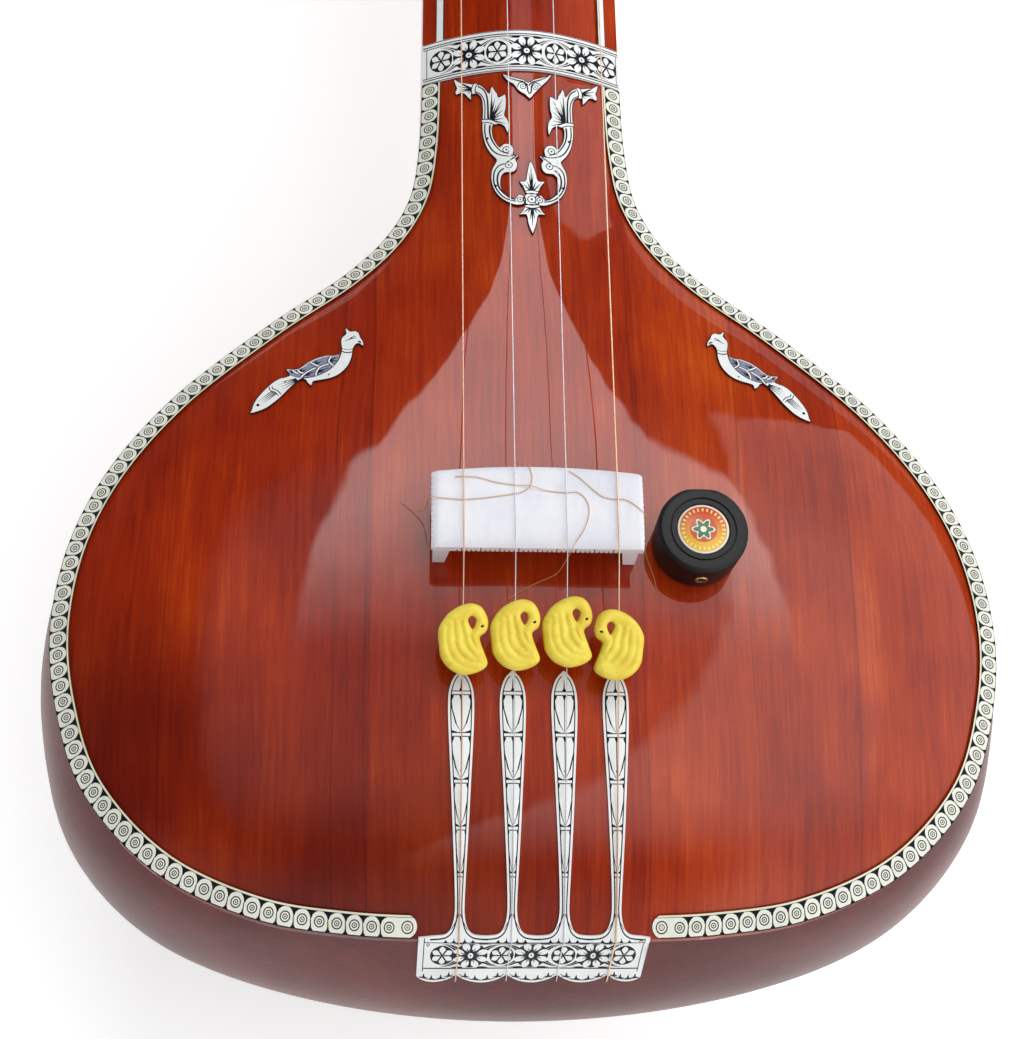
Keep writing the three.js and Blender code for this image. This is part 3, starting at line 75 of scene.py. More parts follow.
PICKUP_X, PICKUP_Y, PICKUP_R, PICKUP_H = 71.5, 168.5, 20, 21
THREAD_LIFT, THREAD_RADIUS = 0.25, 0.17

tail_outline = [(0, 0), (0.002, 0.19), (0.015, 0.37), (0.062, 0.553), (0.211, 0.758),
                (0.469, 0.912), (0.734, 0.976), (1, 1)]
shoulder_outline = [(0.138, 0.969), (0.26, 0.879), (0.391, 0.706), (0.529, 0.433), (0.622, 0.22),
                    (0.694, 0.102), (0.767, 0.036), (0.863, 0.009), (1, 0)]
back_outline = [(0.2, 0.954), (0.42, 0.788), (0.62, 0.51), (0.77, 0.24), (0.88, 0.08),
                (0.95, 0.015), (1, 0)]
bulge_table = [(0, 0.31), (0.25, 0.31), (0.45, 0.25), (0.7, 0.22), (1, 0.15)]


def lerp(a, b, t):
    return a + (b - a) * t


def neck_half(y):
    return lerp(NECK_HALF, HEAD_HALF, (np.asarray(y) - BODY_LENGTH) / (HEAD_END - BODY_LENGTH))


def neck_depth(y):
    return lerp(NECK_DEPTH, HEAD_DEPTH, (y - BODY_LENGTH) / (HEAD_END - BODY_LENGTH))


joints = {j["name"]: j for j in frame["joints"]}
up = Vector(joints["peg_2_turn"]["axis"])
TILT = math.atan2(abs(up.y), abs(up.z))
TURN = np.array(Matrix.Rotation(-TILT, 3, "X"))
peg_1_place = np.array([-neck_half(PEG_YS[0]), PEG_YS[0], PEG_Z])
SHIFT = np.array(joints["peg_1_turn"]["pos_m"]) * 1000 - TURN @ peg_1_place


def world(points):
    return (np.asarray(points, float) @ TURN.T + SHIFT) / 1000


def linked(name, data):
    """A new object in the scene."""
    made = bpy.data.objects.new(name, data)
    bpy.context.scene.collection.objects.link(made)
    return made


def place_camera(back, roll, place, lens):
    """A camera that looks against back, at a place of the instrument's frame."""
    right = np.cross([0, 1, 0], back)
    right /= np.linalg.norm(right)
    above = np.cross(back, right)
    c, s = math.cos(roll), math.sin(roll)
    right, above = c * right + s * above, c * above - s * right
    turned = np.eye(4)
    turned[:3, :3] = TURN @ np.column_stack([right, above, back])
    turned[:3, 3] = world(place)
    data = bpy.data.cameras.new("camera")
    data.lens, data.clip_start, data.clip_end = lens, 0.01, 100
    camera = linked("camera", data)
    camera.matrix_world = Matrix(turned.tolist())
    bpy.context.scene.camera = camera


# At the photograph's angle
place_camera(back=np.array([-0.06855, -0.37373, 0.92500]), roll=math.radians(-0.754),
             place=[-71.07, -157.66, 861.93], lens=71.03)


def step_lengths(line):
    return np.linalg.norm(np.diff(line, axis=0), axis=1)


def way_along(line):
    return np.r_[0, np.cumsum(step_lengths(line))]


# Curves: centripetal splines through points, measured along their length
def spline(points, n=40):
    p = np.array(points, float)
    ends = np.vstack([2 * p[0] - p[1], p, 2 * p[-1] - p[-2]])
    t = np.linspace(0, 1, n, endpoint=False)[:, None]
    out = []
    for i in range(len(p) - 1):
        p0, p1, p2, p3 = ends[i:i + 4]
        d = [max(np.linalg.norm(b - a) ** 0.5, 1e-4) for a, b in ((p0, p1), (p1, p2), (p2, p3))]
        m1 = ((p1 - p0) / d[0] - (p2 - p0) / (d[0] + d[1]) + (p2 - p1) / d[1]) * d[1]
        m2 = ((p2 - p1) / d[1] - (p3 - p1) / (d[1] + d[2]) + (p3 - p2) / d[2]) * d[1]
        out.append(p1 * (2 * t**3 - 3 * t**2 + 1) + m1 * (t**3 - 2 * t**2 + t)
                   + p2 * (3 * t**2 - 2 * t**3) + m2 * (t**3 - t**2))
    return np.vstack(out + [p[-1:]])


class Path:
    def __init__(self, points):
        self.p = spline(points)
        self.s = way_along(self.p)
        self.length = self.s[-1]

    def at(self, share):
        s = np.clip(share, 0, 1) * self.length
        return np.stack([np.interp(s, self.s, c) for c in self.p.T], -1)

    def ahead(self, share):
        d = self.at(np.asarray(share) + 0.003) - self.at(np.asarray(share) - 0.003)
        return d / np.linalg.norm(d, axis=-1, keepdims=True)


rim = Path([(BODY_HALF * w, WIDEST_AT * s) for s, w in tail_outline]
           + [(lerp(NECK_HALF, BODY_HALF, w), lerp(WIDEST_AT, BODY_LENGTH, s))
              for s, w in shoulder_outline])
arc = [math.pi / 8 * i for i in range(5)]
back = Path([(0, 0)]
            + [(BOTTOM_AT - (BOTTOM_AT + TAIL_BULGE) * math.cos(a),
                -lerp(TAIL_BULGE_DEPTH, GOURD_DEPTH, math.sin(a))) for a in arc]
            + [(lerp(BOTTOM_AT, BODY_LENGTH, s), -lerp(NECK_DEPTH, GOURD_DEPTH, d))
               for s, d in back_outline])


def inset(curve, share, by):
    """Places a distance inside a path's line."""
    ahead = curve.ahead(share)
    side = np.stack([-ahead[..., 1], ahead[..., 0]], -1)
    return curve.at(share) + side * np.asarray(by)[..., None]


def bulge_at(share):
    xs, ys = zip(*bulge_table)
    window = min(0.08, share, 1 - share)
    return float(np.mean(np.interp(share + np.linspace(-window, window, 9), xs, ys)))


# Height of the front over the rim's plane
steps = round(rim.length / 2)
rim_samples = rim.at((np.arange(steps) + 0.5) / steps)
neck_ys = np.arange(BODY_LENGTH + 1, HEAD_END + BODY_HALF, 2)
edge_x = np.r_[rim_samples[:, 0], neck_half(neck_ys)]
edge_y = np.r_[rim_samples[:, 1], neck_ys]
edge_length = np.r_[np.full(steps, rim.length / steps), np.full(len(neck_ys), 2)]


def height(x, y):
    shape = np.shape(x)
    x, y = np.ravel(x).astype(float), np.ravel(y).astype(float)
    out = np.empty(len(x))
    for i in range(0, len(x), 4000):
        px, py = x[i:i + 4000, None], y[i:i + 4000, None]
        dy = (py - edge_y) ** 2
        total = (edge_length / np.maximum((px - edge_x) ** 2 + dy, 1e-6) ** 2
                 + edge_length / np.maximum((px + edge_x) ** 2 + dy, 1e-6) ** 2).sum(1)
        out[i:i + 4000] = CROWN_RISE * (1 - np.exp(-np.cbrt(math.pi / 2 / total) / CROWN_REACH))
    return out.reshape(shape)


def bridge_top(y):
    return BRIDGE_TOP - 1.1 * ((np.asarray(y) - BRIDGE_AT) / (BRIDGE_DEPTH / 2)) ** 2


# Loose threads over the bridge, each from one bare end to the other
BRIDGE, FACE = "bridge", "face"
thread_routes = [
    [(BRIDGE, -35.6, 187.9), (BRIDGE, -26.5, 187.8), (BRIDGE, -18.6, 185.6), (BRIDGE, -11.3, 184.4),
     (BRIDGE, -8, 184.1), (56.4, -3.3, 183.5), (BRIDGE, 3.9, 181.7), (BRIDGE, 11.9, 180.9),
     (BRIDGE, 17, 181.1), (BRIDGE, 20.5, 178), (BRIDGE, 21.8, 172.6), (BRIDGE, 19.8, 164.8),
     (BRIDGE, 16.4, 159.3), (54.7, 14.9, 156.9), (53.2, 14.2, 155.6), (47, 13.4, 155.2),
     (40, 12.4, 154.9), (33, 11.2, 154.4), (29, 9.4, 153.4), (FACE, 6.4, 152.2),
     (FACE, 0.5, 149.5), (FACE, -6.9, 145.2), (FACE, -11.4, 142.2)],
    [(FACE, -57.8, 187.3), (FACE, -54.5, 184.4), (29.6, -51.2, 182), (33, -48.9, 180.6),
     (41, -47.6, 179.6), (49, -47, 178.8), (53.8, -46.6, 178.4), (55.6, -45.4, 178.1),
     (BRIDGE, -43.4, 177.8), (BRIDGE, -38.8, 177.4), (BRIDGE, -32.3, 177), (BRIDGE, -24.4, 177.7),
     (BRIDGE, -11.4, 179.8), (BRIDGE, -6.3, 181.1), (BRIDGE, -3.3, 183.9), (BRIDGE, -2.3, 188.6),
     (BRIDGE, -3, 191.6), (54.3, -3.4, 193.6), (52.4, -3.7, 194.9), (46, -4, 195.3),
     (38, -4.3, 195.8), (31.5, -4.6, 197), (28.4, -4.9, 199.4), (FACE, -5.2, 202.6),
     (FACE, -5.7, 207)],
    [(BRIDGE, 13.6, 191.4), (BRIDGE, 17.9, 188.4), (BRIDGE, 22.8, 183.5), (BRIDGE, 27.8, 179.3),
     (BRIDGE, 33.6, 178.1), (BRIDGE, 37.3, 178.1), (BRIDGE, 41.6, 175.6), (BRIDGE, 43.6, 173.8),
     (55.5, 45.3, 172.3), (53.8, 46.6, 171.5), (48, 47.1, 171), (40, 47.4, 170.6),
     (32, 48, 169.6), (28.6, 48.7, 167.4), (FACE, 49.6, 163.6), (FACE, 51.2, 158),
     (FACE, 52.8, 152.6), (FACE, 53.6, 147.7)],
]


def fitted(made, body, node):
    """The piece moves with its body and stands for one CAD node."""
    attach(made, body)
    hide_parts(node)
    return made


def wire(name, points, radius, material, body, node):
    """A smooth tube along points of the instrument's frame, as a curve of one spline."""
    curve = bpy.data.curves.new(name, "CURVE")
    curve.dimensions, curve.bevel_depth, curve.bevel_resolution = "3D", radius / 1000, 3
    curve.use_fill_caps = True
    line = curve.splines.new("POLY")
    line.points.add(len(points) - 1)
    places = world(points)
    line.points.foreach_set("co", np.c_[places, np.ones(len(points))].ravel())
    curve.materials.append(material)
    return fitted(linked(name, curve), body, node), places


thread_material = bpy.data.materials.new("thread_cotton")
for number, route in enumerate(thread_routes, 1):
    places = []
    for z, x, y in route:
        if z == BRIDGE:
            z = bridge_top(y) + GAP + THREAD_LIFT
        elif z == FACE:
            z = float(height(x, y)) + GAP + THREAD_LIFT
        places.append((x, y, z))
    cord, line = wire(f"thread_{number}_cord", spline(places, 8), THREAD_RADIUS,
                      thread_material, "body", f"thread_{number}")
    length = float(step_lengths(line).sum())
    tuple(line[0])


# Materials: a small writer of node trees
class Graph:
    def __init__(self, owner):
        owner.use_nodes = True
        self.tree = owner.node_tree
        self.tree.nodes.clear()

    def add(self, kind, inputs=(), **settings):
        made = self.tree.nodes.new(kind)
        for key, value in settings.items():
            setattr(made, key, value)
        for key, value in dict(inputs).items():
            self.put(made.inputs[key], value)
        return made

    def put(self, socket, value):
        if isinstance(value, bpy.types.NodeSocket):
            self.tree.links.new(value, socket)
        elif isinstance(value, (tuple, list)) and socket.type == "RGBA" and len(value) == 3:
            socket.default_value = (*value, 1)
        else:
            socket.default_value = value

    def math(self, operation, a, b=0.0, c=0.0):
        made = self.tree.nodes.new("ShaderNodeMath")
        made.operation = operation
        for socket, value in zip(made.inputs, (a, b, c)):
            self.put(socket, value)
        return made.outputs[0]

    def smooth(self, value, low, high, to_low=0.0, to_high=1.0):
        made = self.add("ShaderNodeMapRange", {0: value, 1: low, 2: high, 3: to_low, 4: to_high},
                        interpolation_type="SMOOTHSTEP")
        return made.outputs[0]

    def mix(self, share, a, b, blend="MIX"):
        made = self.add("ShaderNodeMix", data_type="RGBA", blend_type=blend)
        for index, value in ((0, share), (6, a), (7, b)):
            self.put(made.inputs[index], value)
        return made.outputs[2]

    def scaled(self, vector, scale):
        return self.add("ShaderNodeVectorMath", {0: vector, 1: scale},
                        operation="MULTIPLY").outputs[0]

    def distance(self, vector, place):
        return self.add("ShaderNodeVectorMath", {0: vector, 1: place},
                        operation="DISTANCE").outputs["Value"]

    def noise(self, vector, scale=1.0, detail=3.0, roughness=0.55):
        """Noise of one scale, or of a scale for each axis."""
        if isinstance(scale, tuple):
            vector, scale = self.scaled(vector, scale), 1
        return self.add("ShaderNodeTexNoise", {"Vector": vector, "Scale": scale, "Detail": detail,
                                               "Roughness": roughness}).outputs[0]

    def flat(self):
        """Millimetres along and across, as the mesh has laid them out."""
        return self.add("ShaderNodeUVMap", uv_map="mm").outputs[0]

    def room(self):
        """The object's own coordinates in millimetres."""
        return self.scaled(self.add("ShaderNodeTexCoord").outputs["Object"], (1000, 1000, 1000))

    def bump(self, value, strength=0.3, distance=0.0001):
        return self.add("ShaderNodeBump", {"Height": value, "Strength": strength,
                                           "Distance": distance}).outputs[0]

    def surface(self, **inputs):
        shader = self.add("ShaderNodeBsdfPrincipled",
                          {key.replace("_", " "): value for key, value in inputs.items()})
        self.add("ShaderNodeOutputMaterial", {"Surface": shader.outputs[0]})


def material(name):
    made = bpy.data.materials.get(name) or bpy.data.materials.new(name)
    return made, Graph(made)


def hexa(text):
    parts = [int(text[i:i + 2], 16) / 255 for i in (0, 2, 4)]
    return tuple(c / 12.92 if c < 0.04045 else ((c + 0.055) / 1.055) ** 2.4 for c in parts)


def board_wood(name, painted_shade_reach, gloss=1.0):
    """Lacquered tun wood in a few jointed boards, with fine straight grain."""
    made, g = material(name)
    uv = g.flat()
    x, y, _ = g.add("ShaderNodeSeparateXYZ", {0: uv}).outputs
    waver = g.noise(uv, (0.012, 0.004, 1), 2)
    bent = g.math("ADD", x, g.math("MULTIPLY", g.math("SUBTRACT", waver, 0.5), 14))
    bent_uv = g.add("ShaderNodeCombineXYZ", {0: bent, 1: y}).outputs[0]
    boards = g.add("ShaderNodeValToRGB", {0: g.math("MULTIPLY_ADD", x, 1 / 430, 0.5)})
    stops = [(0, 0.45), (0.12, 0.55), (0.27, 0.42), (0.335, 0.62), (0.5, 0.5), (0.61, 0.6),
             (0.72, 0.46), (0.83, 0.58), (0.93, 0.48)]
    ramp = boards.color_ramp
    ramp.interpolation = "CONSTANT"
    while len(ramp.elements) < len(stops):
        ramp.elements.new(0.5)
    for element, (at, value) in zip(ramp.elements, stops):
        element.position, element.color = at, (value, value, value, 1)
    figure = g.noise(bent_uv, (0.055, 0.007, 1), 4, 0.6)
    streak = g.noise(bent_uv, (0.5, 0.018, 1), 3, 0.6)
    grain = g.noise(bent_uv, (2.4, 0.07, 1), 3, 0.65)
    pores = g.smooth(g.noise(bent_uv, (3.2, 0.16, 1), 2, 0.5), 0.6, 0.72)
    cloud = g.noise(uv, (0.016, 0.012, 1), 3)
    tone = 0.5
    for value, amount in ((figure, 0.45), (streak, 0.55), (grain, 0.4), (cloud, 0.8),
                          (boards.outputs[0], 0.7)):
        tone = g.math("MULTIPLY_ADD", g.math("SUBTRACT", value, 0.5), amount, tone)
    tone = g.math("MULTIPLY_ADD", pores, -0.1, tone)
    colour = g.add("ShaderNodeValToRGB", {0: tone})
    ramp = colour.color_ramp
    for element, at, shade in zip(ramp.elements, (0.2, 0.85), ("741503", "c4500b")):
        element.position, element.color = at, (*hexa(shade), 1)
    for at, shade in ((0.42, "952704"), (0.6, "a93505")):
        ramp.elements.new(at).color = (*hexa(shade), 1)
    # Painted shade and light: the colour is deeper towards the left and brighter towards the right,
    # as the light falls.
    side = g.smooth(x, -painted_shade_reach, painted_shade_reach)
    painted_left_shade = g.mix(side, (0.82, 0.62, 0.55), (1.0, 1.0, 1.0))
    base = g.mix(1.0, colour.outputs[0], painted_left_shade, "MULTIPLY")
    # Painted shade: darker round the tail's low corner and in a patch near the left edge, standing
    # in for dark reflections there.
    painted_shade_colour = hexa("4a0a03")
    uneven = g.math("MULTIPLY_ADD", g.math("SUBTRACT", cloud, 0.5), 60,
                    g.distance(uv, (-75.0, 5.0, 0.0)))
    base = g.mix(g.smooth(uneven, 20, 130, 0.7, 0.0), base, painted_shade_colour)
    base = g.mix(g.smooth(g.distance(uv, (-185.0, 80.0, 0.0)), 10, 90, 0.6, 0.0), base, painted_shade_colour)
    # Seams between the boards
    seams = 1.0
    for at in (-159, -85, -71, 47, 95, 142):
        near = g.math("ABSOLUTE", g.math("SUBTRACT", bent, at))
        seams = g.math("MULTIPLY", seams, g.smooth(near, 0.15, 0.6, 0.72, 1.0))
    base = g.mix(1.0, base, seams, "MULTIPLY")
    g.surface(Base_Color=base, Roughness=0.42, Coat_Weight=gloss, Coat_Roughness=0.02 / gloss,
              Coat_IOR=1.38, Specular_IOR_Level=0.05,
              Coat_Normal=g.bump(g.noise(uv, (0.02, 0.02, 1), 2), 0.3, 0.0008),
              Normal=g.bump(grain, 0.2, 0.0001))
    return made


def turned_wood(name, dark, light, scale=1.0, coat=1.0):
    """Varnished wood with its grain along the object's second axis."""
    made, g = material(name)
    uv = g.flat()
    figure = g.noise(uv, (0.06 * scale, 0.006 * scale, 1), 4, 0.6)
    grain = g.noise(uv, (1.1 * scale, 0.02 * scale, 1), 3, 0.65)
    tone = g.math("MULTIPLY_ADD", grain, 0.45, g.math("MULTIPLY", figure, 0.6))
    base = g.mix(g.smooth(tone, 0.35, 0.7), hexa(dark), hexa(light))
    g.surface(Base_Color=base, Roughness=0.35, Coat_Weight=coat, Coat_Roughness=0.05,
              Specular_IOR_Level=0.3, Normal=g.bump(grain, 0.2, 0.0002))
    return made


def gourd_skin():
    """Stained gourd under varnish: maroon with faint mottling in clouds and spots."""
    made, g = material("gourd_varnish")
    place = g.room()
    cloud, spot, fine = [g.noise(place, scale, detail, 0.6)
                         for scale, detail in ((0.012, 4), (0.09, 3), (0.6, 3))]
    tone = g.math("MULTIPLY_ADD", spot, 0.4, g.math("MULTIPLY", cloud, 0.6))
    base = g.mix(g.smooth(tone, 0.3, 0.7), hexa("4e1210"), hexa("66211c"))
    base = g.mix(g.smooth(fine, 0.6, 0.8, 0, 0.25), base, hexa("45120e"))
    g.surface(Base_Color=base, Roughness=0.5, Coat_Weight=0.3,
              Coat_Roughness=0.14, Coat_IOR=1.4, Specular_IOR_Level=0.08,
              Normal=g.bump(g.math("MULTIPLY_ADD", spot, 0.7, fine), 0.3, 0.0006))
    return made


def finish(name, shades, pattern, tone, roughness, bump, cloud=None, worn=None, **rest):
    """Two shades in a pattern or in clouds; the pattern sets the relief and the gloss too."""
    made, g = material(name)
    place = g.room()
    fine = g.noise(place, *pattern)
    spread = g.noise(place, *cloud) if cloud else fine
    base = g.mix(g.smooth(spread, *tone), *shades)
    if worn:
        shade, low, high = worn
        base = g.mix(g.smooth(fine, low, high, 0, 0.3), base, hexa(shade))
    if isinstance(roughness, tuple):
        roughness = g.smooth(fine, 0.3, 0.7, *roughness)
    g.surface(Base_Color=base, Roughness=roughness, Normal=g.bump(fine, *bump), **rest)
    return made


def faded(shade, share):
    """A shade and a darker one of the same hue."""
    return hexa(shade), tuple(c * share for c in hexa(shade))


def plate_white(name, shade):
    """Polished white plate, a little yellowed in clouds, with fine scratches."""
    return finish(name, faded(shade, 0.88), (1.3, 4, 0.6), (0.35, 0.75), (0.28, 0.42),
                  (0.25, 0.0001), (0.05, 3), ("cfccba", 0.55, 0.8), Specular_IOR_Level=0.5,
                  Coat_Weight=0.25, Coat_Roughness=0.1)


def engraved_ink(name, dark, light):
    """Ink rubbed into the engraving, thin in places."""
    return finish(name, (hexa(dark), hexa(light)), (1.6, 4, 0.65), (0.45, 0.75), 0.6,
                  (0.5, 0.00015), Specular_IOR_Level=0.15)


def metal(name, shade):
    """Drawn wire or turned metal, finely mottled."""
    return finish(name, faded(shade, 0.72), (2.5, 3, 0.7), (0.35, 0.7), (0.22, 0.4),
                  (0.2, 0.00005), Metallic=1.0)


def label_print():
    """A generic round label: a printed ring and bands that run from red to yellow."""
    made, g = material("pickup_label_print")
    uv = g.flat()
    x, y, _ = g.add("ShaderNodeSeparateXYZ", {0: uv}).outputs
    radius = g.math("SQRT", g.math("ADD", g.math("MULTIPLY", x, x), g.math("MULTIPLY", y, y)))
    fade = g.mix(g.smooth(y, -9, 9), hexa("e9b92c"), hexa("d2481a"))
    base = g.mix(g.smooth(radius, 10.3, 10.5), fade, hexa("e9e4d8"))
    turn = g.math("ARCTAN2", y, x)
    petals = g.math("MULTIPLY_ADD", g.math("COSINE", g.math("MULTIPLY", turn, 6)), 1.0, 4.1)
    beads = g.math("COSINE", g.math("MULTIPLY", turn, 28))
    ringed = g.math("MULTIPLY", g.smooth(radius, 8.2, 8.4), g.smooth(radius, 9.8, 9.6))
    base = g.mix(g.math("MULTIPLY", g.smooth(beads, 0.2, 0.5), ringed), base, hexa("f4e2a0"))
    base = g.mix(g.smooth(radius, 6.1, 5.9), base, hexa("c4502a"))
    base = g.mix(g.smooth(g.math("SUBTRACT", radius, petals), 0.25, 0.1), base, hexa("e9e6d6"))
    base = g.mix(g.smooth(g.math("SUBTRACT", radius, petals), -0.5, -0.65), base, hexa("2f6b3c"))
    base = g.mix(g.smooth(radius, 1.5, 1.3), base, hexa("e9e6d6"))
    fine = g.noise(uv, 3.0, 3)
    base = g.mix(g.smooth(fine, 0.5, 0.8, 0, 0.2), base, hexa("7a4a16"))
    g.surface(Base_Color=base, Roughness=0.3, Specular_IOR_Level=0.5,
              Normal=g.bump(fine, 0.15, 0.00005))
    return made


board = board_wood("soundboard_lacquer", 75)
neck_board = board_wood("neck_face_lacquer", 45, 0.25)
neck_wood = turned_wood("neck_lacquer", "5a1606", "a03c10")
dark_wood = turned_wood("peg_rosewood", "2a0f09", "5d2a17", 1.6, 0.7)
gourd_material = gourd_skin()
white, strip_white = plate_white("engraved_white", "eef1f0"), plate_white("strip_white", "e7e8db")
cream = plate_white("strip_line_cream", "e4e0c4")
ink = engraved_ink("engraved_ink", "080816", "1a1a30")
wash = engraved_ink("engraved_wash", "787c95", "b4b8c8")
bridge_material = finish("bridge_white", (hexa("e9e9f0"), hexa("dfe0ea")),
                         ((0.5, 0.05, 0.5), 3, 0.6), (0.3, 0.7), (0.34, 0.5), (0.3, 0.0001),
                         (0.06, 3), ("d0d2dd", 0.5, 0.8), Specular_IOR_Level=0.45)
bone = finish("bone_white", (hexa("efe9d8"), hexa("d6cbae")), ((0.08, 1.2, 1.2), 4, 0.6),
              (0.35, 0.75), 0.32, (0.3, 0.0001), Specular_IOR_Level=0.5)
yellow = finish("bead_yellow", (hexa("efdb52"), hexa("e2c73e")), (1.5, 3), (0.3, 0.7),
                (0.36, 0.5), (0.2, 0.0001), (0.15, 3), Specular_IOR_Level=0.4,
                Subsurface_Weight=0.15, Subsurface_Scale=0.003,
                Subsurface_Radius=(1.0, 0.7, 0.2))
black = finish("pickup_black", (hexa("08080b"), hexa("15161a")), (1.4, 4, 0.6), (0.4, 0.8),
               (0.36, 0.5), (0.45, 0.00012), Specular_IOR_Level=0.3)
label_material = label_print()
brass = metal("brass_turned", "e2c98c")
steel = metal("steel_wire", "d9dbe0")
bronze = metal("bronze_wire", "e0b79c")
brass_string = metal("brass_wire", "e9c4a4")
finish("thread_cotton", (hexa("d6a765"), hexa("b98746")), (4.0, 3, 0.7), (0.35, 0.7), 0.8,
       (0.6, 0.0001))
raw = finish("raw_wood_sawn", (hexa("b98d5c"), hexa("8f6a3f")), ((0.9, 0.03, 0.9), 3, 0.6),
             (0.3, 0.7), 0.75, (0.5, 0.0003))
string_materials = [bronze, steel, steel, brass_string]


# Meshes
def mesh_piece(name, points, faces, materials, body, node, slot, uv=None, indices=None, sharp=38):
    """A mesh of the instrument's frame, given its materials, its body and what it replaces."""
    mesh = bpy.data.meshes.new(name)
    mesh.from_pydata(world(points).tolist(), [], [list(map(int, f)) for f in faces])
    for one in materials:
        mesh.materials.append(one)
    if indices is not None:
        mesh.polygons.foreach_set("material_index", np.asarray(indices, np.int32))
    mesh.shade_smooth()
    mesh.set_sharp_from_angle(angle=math.radians(sharp))
    layer = mesh.uv_layers.new(name="mm")
    flat = np.asarray(points if uv is None else uv, float)[:, :2]
    corner = np.empty(len(mesh.loops), np.int32)
    mesh.loops.foreach_get("vertex_index", corner)
    layer.data.foreach_set("uv", flat[corner].astype(np.float32).ravel())
    return fitted(linked(name, mesh), body, node)


def grid_faces(rows, columns, first=0, closed_columns=False):
    faces = []
    for i in range(rows - 1):
        for j in range(columns if closed_columns else columns - 1):
            k = (j + 1) % columns
            a = first + i * columns
            faces.append((a + j, a + k, a + columns + k, a + columns + j))
    return faces


def flipped(faces):
    return [tuple(reversed(f)) for f in faces]


def shell(outer, inner):
    """Faces of a wall between two open sheets with the same rows and columns."""
    rows, columns = outer.shape[:2]
    n = rows * columns
    faces = grid_faces(rows, columns)
    faces += flipped(grid_faces(rows, columns, n))
    edge = ([i * columns for i in range(rows)]
            + [(rows - 1) * columns + j for j in range(1, columns)]
            + [i * columns + columns - 1 for i in range(rows - 2, -1, -1)]
            + list(range(columns - 2, 0, -1)))
    for a, b in zip(edge, edge[1:] + edge[:1]):
        faces.append((a, b, n + b, n + a))
    return np.vstack([outer.reshape(-1, 3), inner.reshape(-1, 3)]), faces


FLATTER = 0.17  # keeps the belly's widest line inside the flat faces of the CAD shape
NECK_FLARE, SECTION_POINTS = bulge_table[-1][1], 72


def section(half, side_at, bottom_at, depth, bulge):
    """One cross-section of the back, from the right edge round the bottom to the left."""
    lean = math.asin(bulge / (1 - bulge))
    angle = np.linspace(-lean, math.pi + lean, SECTION_POINTS)
    sunk = bulge + (1 - bulge) * np.sin(angle)
    most = 1 / math.cos(lean)
    out = np.cos(angle) * most
    past = np.maximum(np.abs(out) - 1, 0)
    out -= np.sign(out) * FLATTER * past ** 2 / max(most - 1, 1e-9)
    return np.stack([half * out, lerp(side_at, bottom_at, sunk), BACK_TOP - depth * sunk], -1)


def body_section(share, by):
    side, bottom = inset(rim, share, by), inset(back, share, by)
    return section(max(side[0], 0), side[1], bottom[0], -bottom[1], bulge_at(share))


def floor_flat(made):
    """Wears the lowest places flat where they rest on the floor."""
    co = np.empty(len(made.data.vertices) * 3, np.float32)
    made.data.vertices.foreach_get("co", co)
    co = co.reshape(-1, 3)
    co[:, 2] = np.maximum(co[:, 2], 0)
    made.data.vertices.foreach_set("co", co.ravel())
    made.data.update()


def wall_piece(name, outer, inner, half_way, material, node, slot):
    """A wall between two sheets, with its grain laid out along the instrument."""
    points, faces = shell(outer, inner)
    around = np.tile(np.linspace(-1, 1, outer.shape[1]), (len(outer), 1)) * half_way
    uv = np.stack([around, outer[..., 1]], -1).reshape(-1, 2)
    floor_flat(mesh_piece(name, points, faces, [material], "body", node, slot,
                          np.vstack([uv, uv])))


def body_shell(name, start, end, wall, rows, material, node, slot):
    """A stretch of the gourd or collar."""
    outer, inner = [np.array([body_section(share, by) for share in np.linspace(start, end, rows)])
                    for by in (0, wall)]
    wall_piece(name, outer, inner, 330, material, node, slot)


def neck_shell(name, from_y, to_y, rows, node):
    """A stretch of the neck or head."""
    outer, inner = [np.array([section(neck_half(y) - by, y, y, neck_depth(y) - by, NECK_FLARE)
                              for y in np.linspace(from_y, to_y, rows)])
                    for by in (0, NECK_WALL)]
    wall_piece(name, outer, inner, 85, neck_wood, node, "neck")


body_shell("gourd_bowl", 0.0, COLLAR_START, GOURD_WALL, 120, gourd_material, "gourd", "gourd")
body_shell("collar_wood", COLLAR_START + GAP / rim.length, 1.0, NECK_WALL, 40, neck_wood,
           "neck_joint", "neck")
neck_shell("neck_shaft", BODY_LENGTH + GAP, HEAD_AT, 30, "neck_back")
neck_shell("head_box", HEAD_AT + GAP, HEAD_END, 12, "head_back")


# Flat drawings, cut into triangles and laid on a curved place
def cut_sheet(outlines, shapes=(), spacing=4.0, holes=()):
    """Triangles of some outlines, each with the colour of the last shape that covers it."""
    rings = [np.asarray(one, float) for one in [*outlines, *(ring for ring, _ in shapes), *holes]]
    points, faces = [], []
    for ring in rings:
        x, y = ring.T
        if np.sum(x * np.roll(y, -1) - y * np.roll(x, -1)) < 0:
            ring = ring[::-1]
        faces.append(list(range(len(points), len(points) + len(ring))))
        points += [Vector(p) for p in ring]
    low, high = np.vstack(outlines).min(0), np.vstack(outlines).max(0)
    rows = np.arange(low[1] + spacing / 2, high[1], spacing * 0.866)
    for i, y in enumerate(rows):
        for x in np.arange(low[0] + spacing * (0.25 + 0.5 * (i % 2)), high[0], spacing):
            points.append(Vector((x, y)))
    corners, _, cells, _, _, origin = delaunay_2d_cdt(points, [], faces, 1, 1e-4)
    first_shape, first_hole = len(outlines), len(rings) - len(holes)
    kept, colours = [], []
    for cell, own in zip(cells, origin):
        if own and min(own) < first_shape and max(own) < first_hole:
            kept.append(cell)
            colours.append(shapes[max(own) - first_shape][1] if max(own) >= first_shape else 0)
    used = np.unique(np.array(kept))
    index = {old: new for new, old in enumerate(used)}
    corners = np.array([corners[k] for k in used])
    return corners, [tuple(index[k] for k in cell) for cell in kept], colours


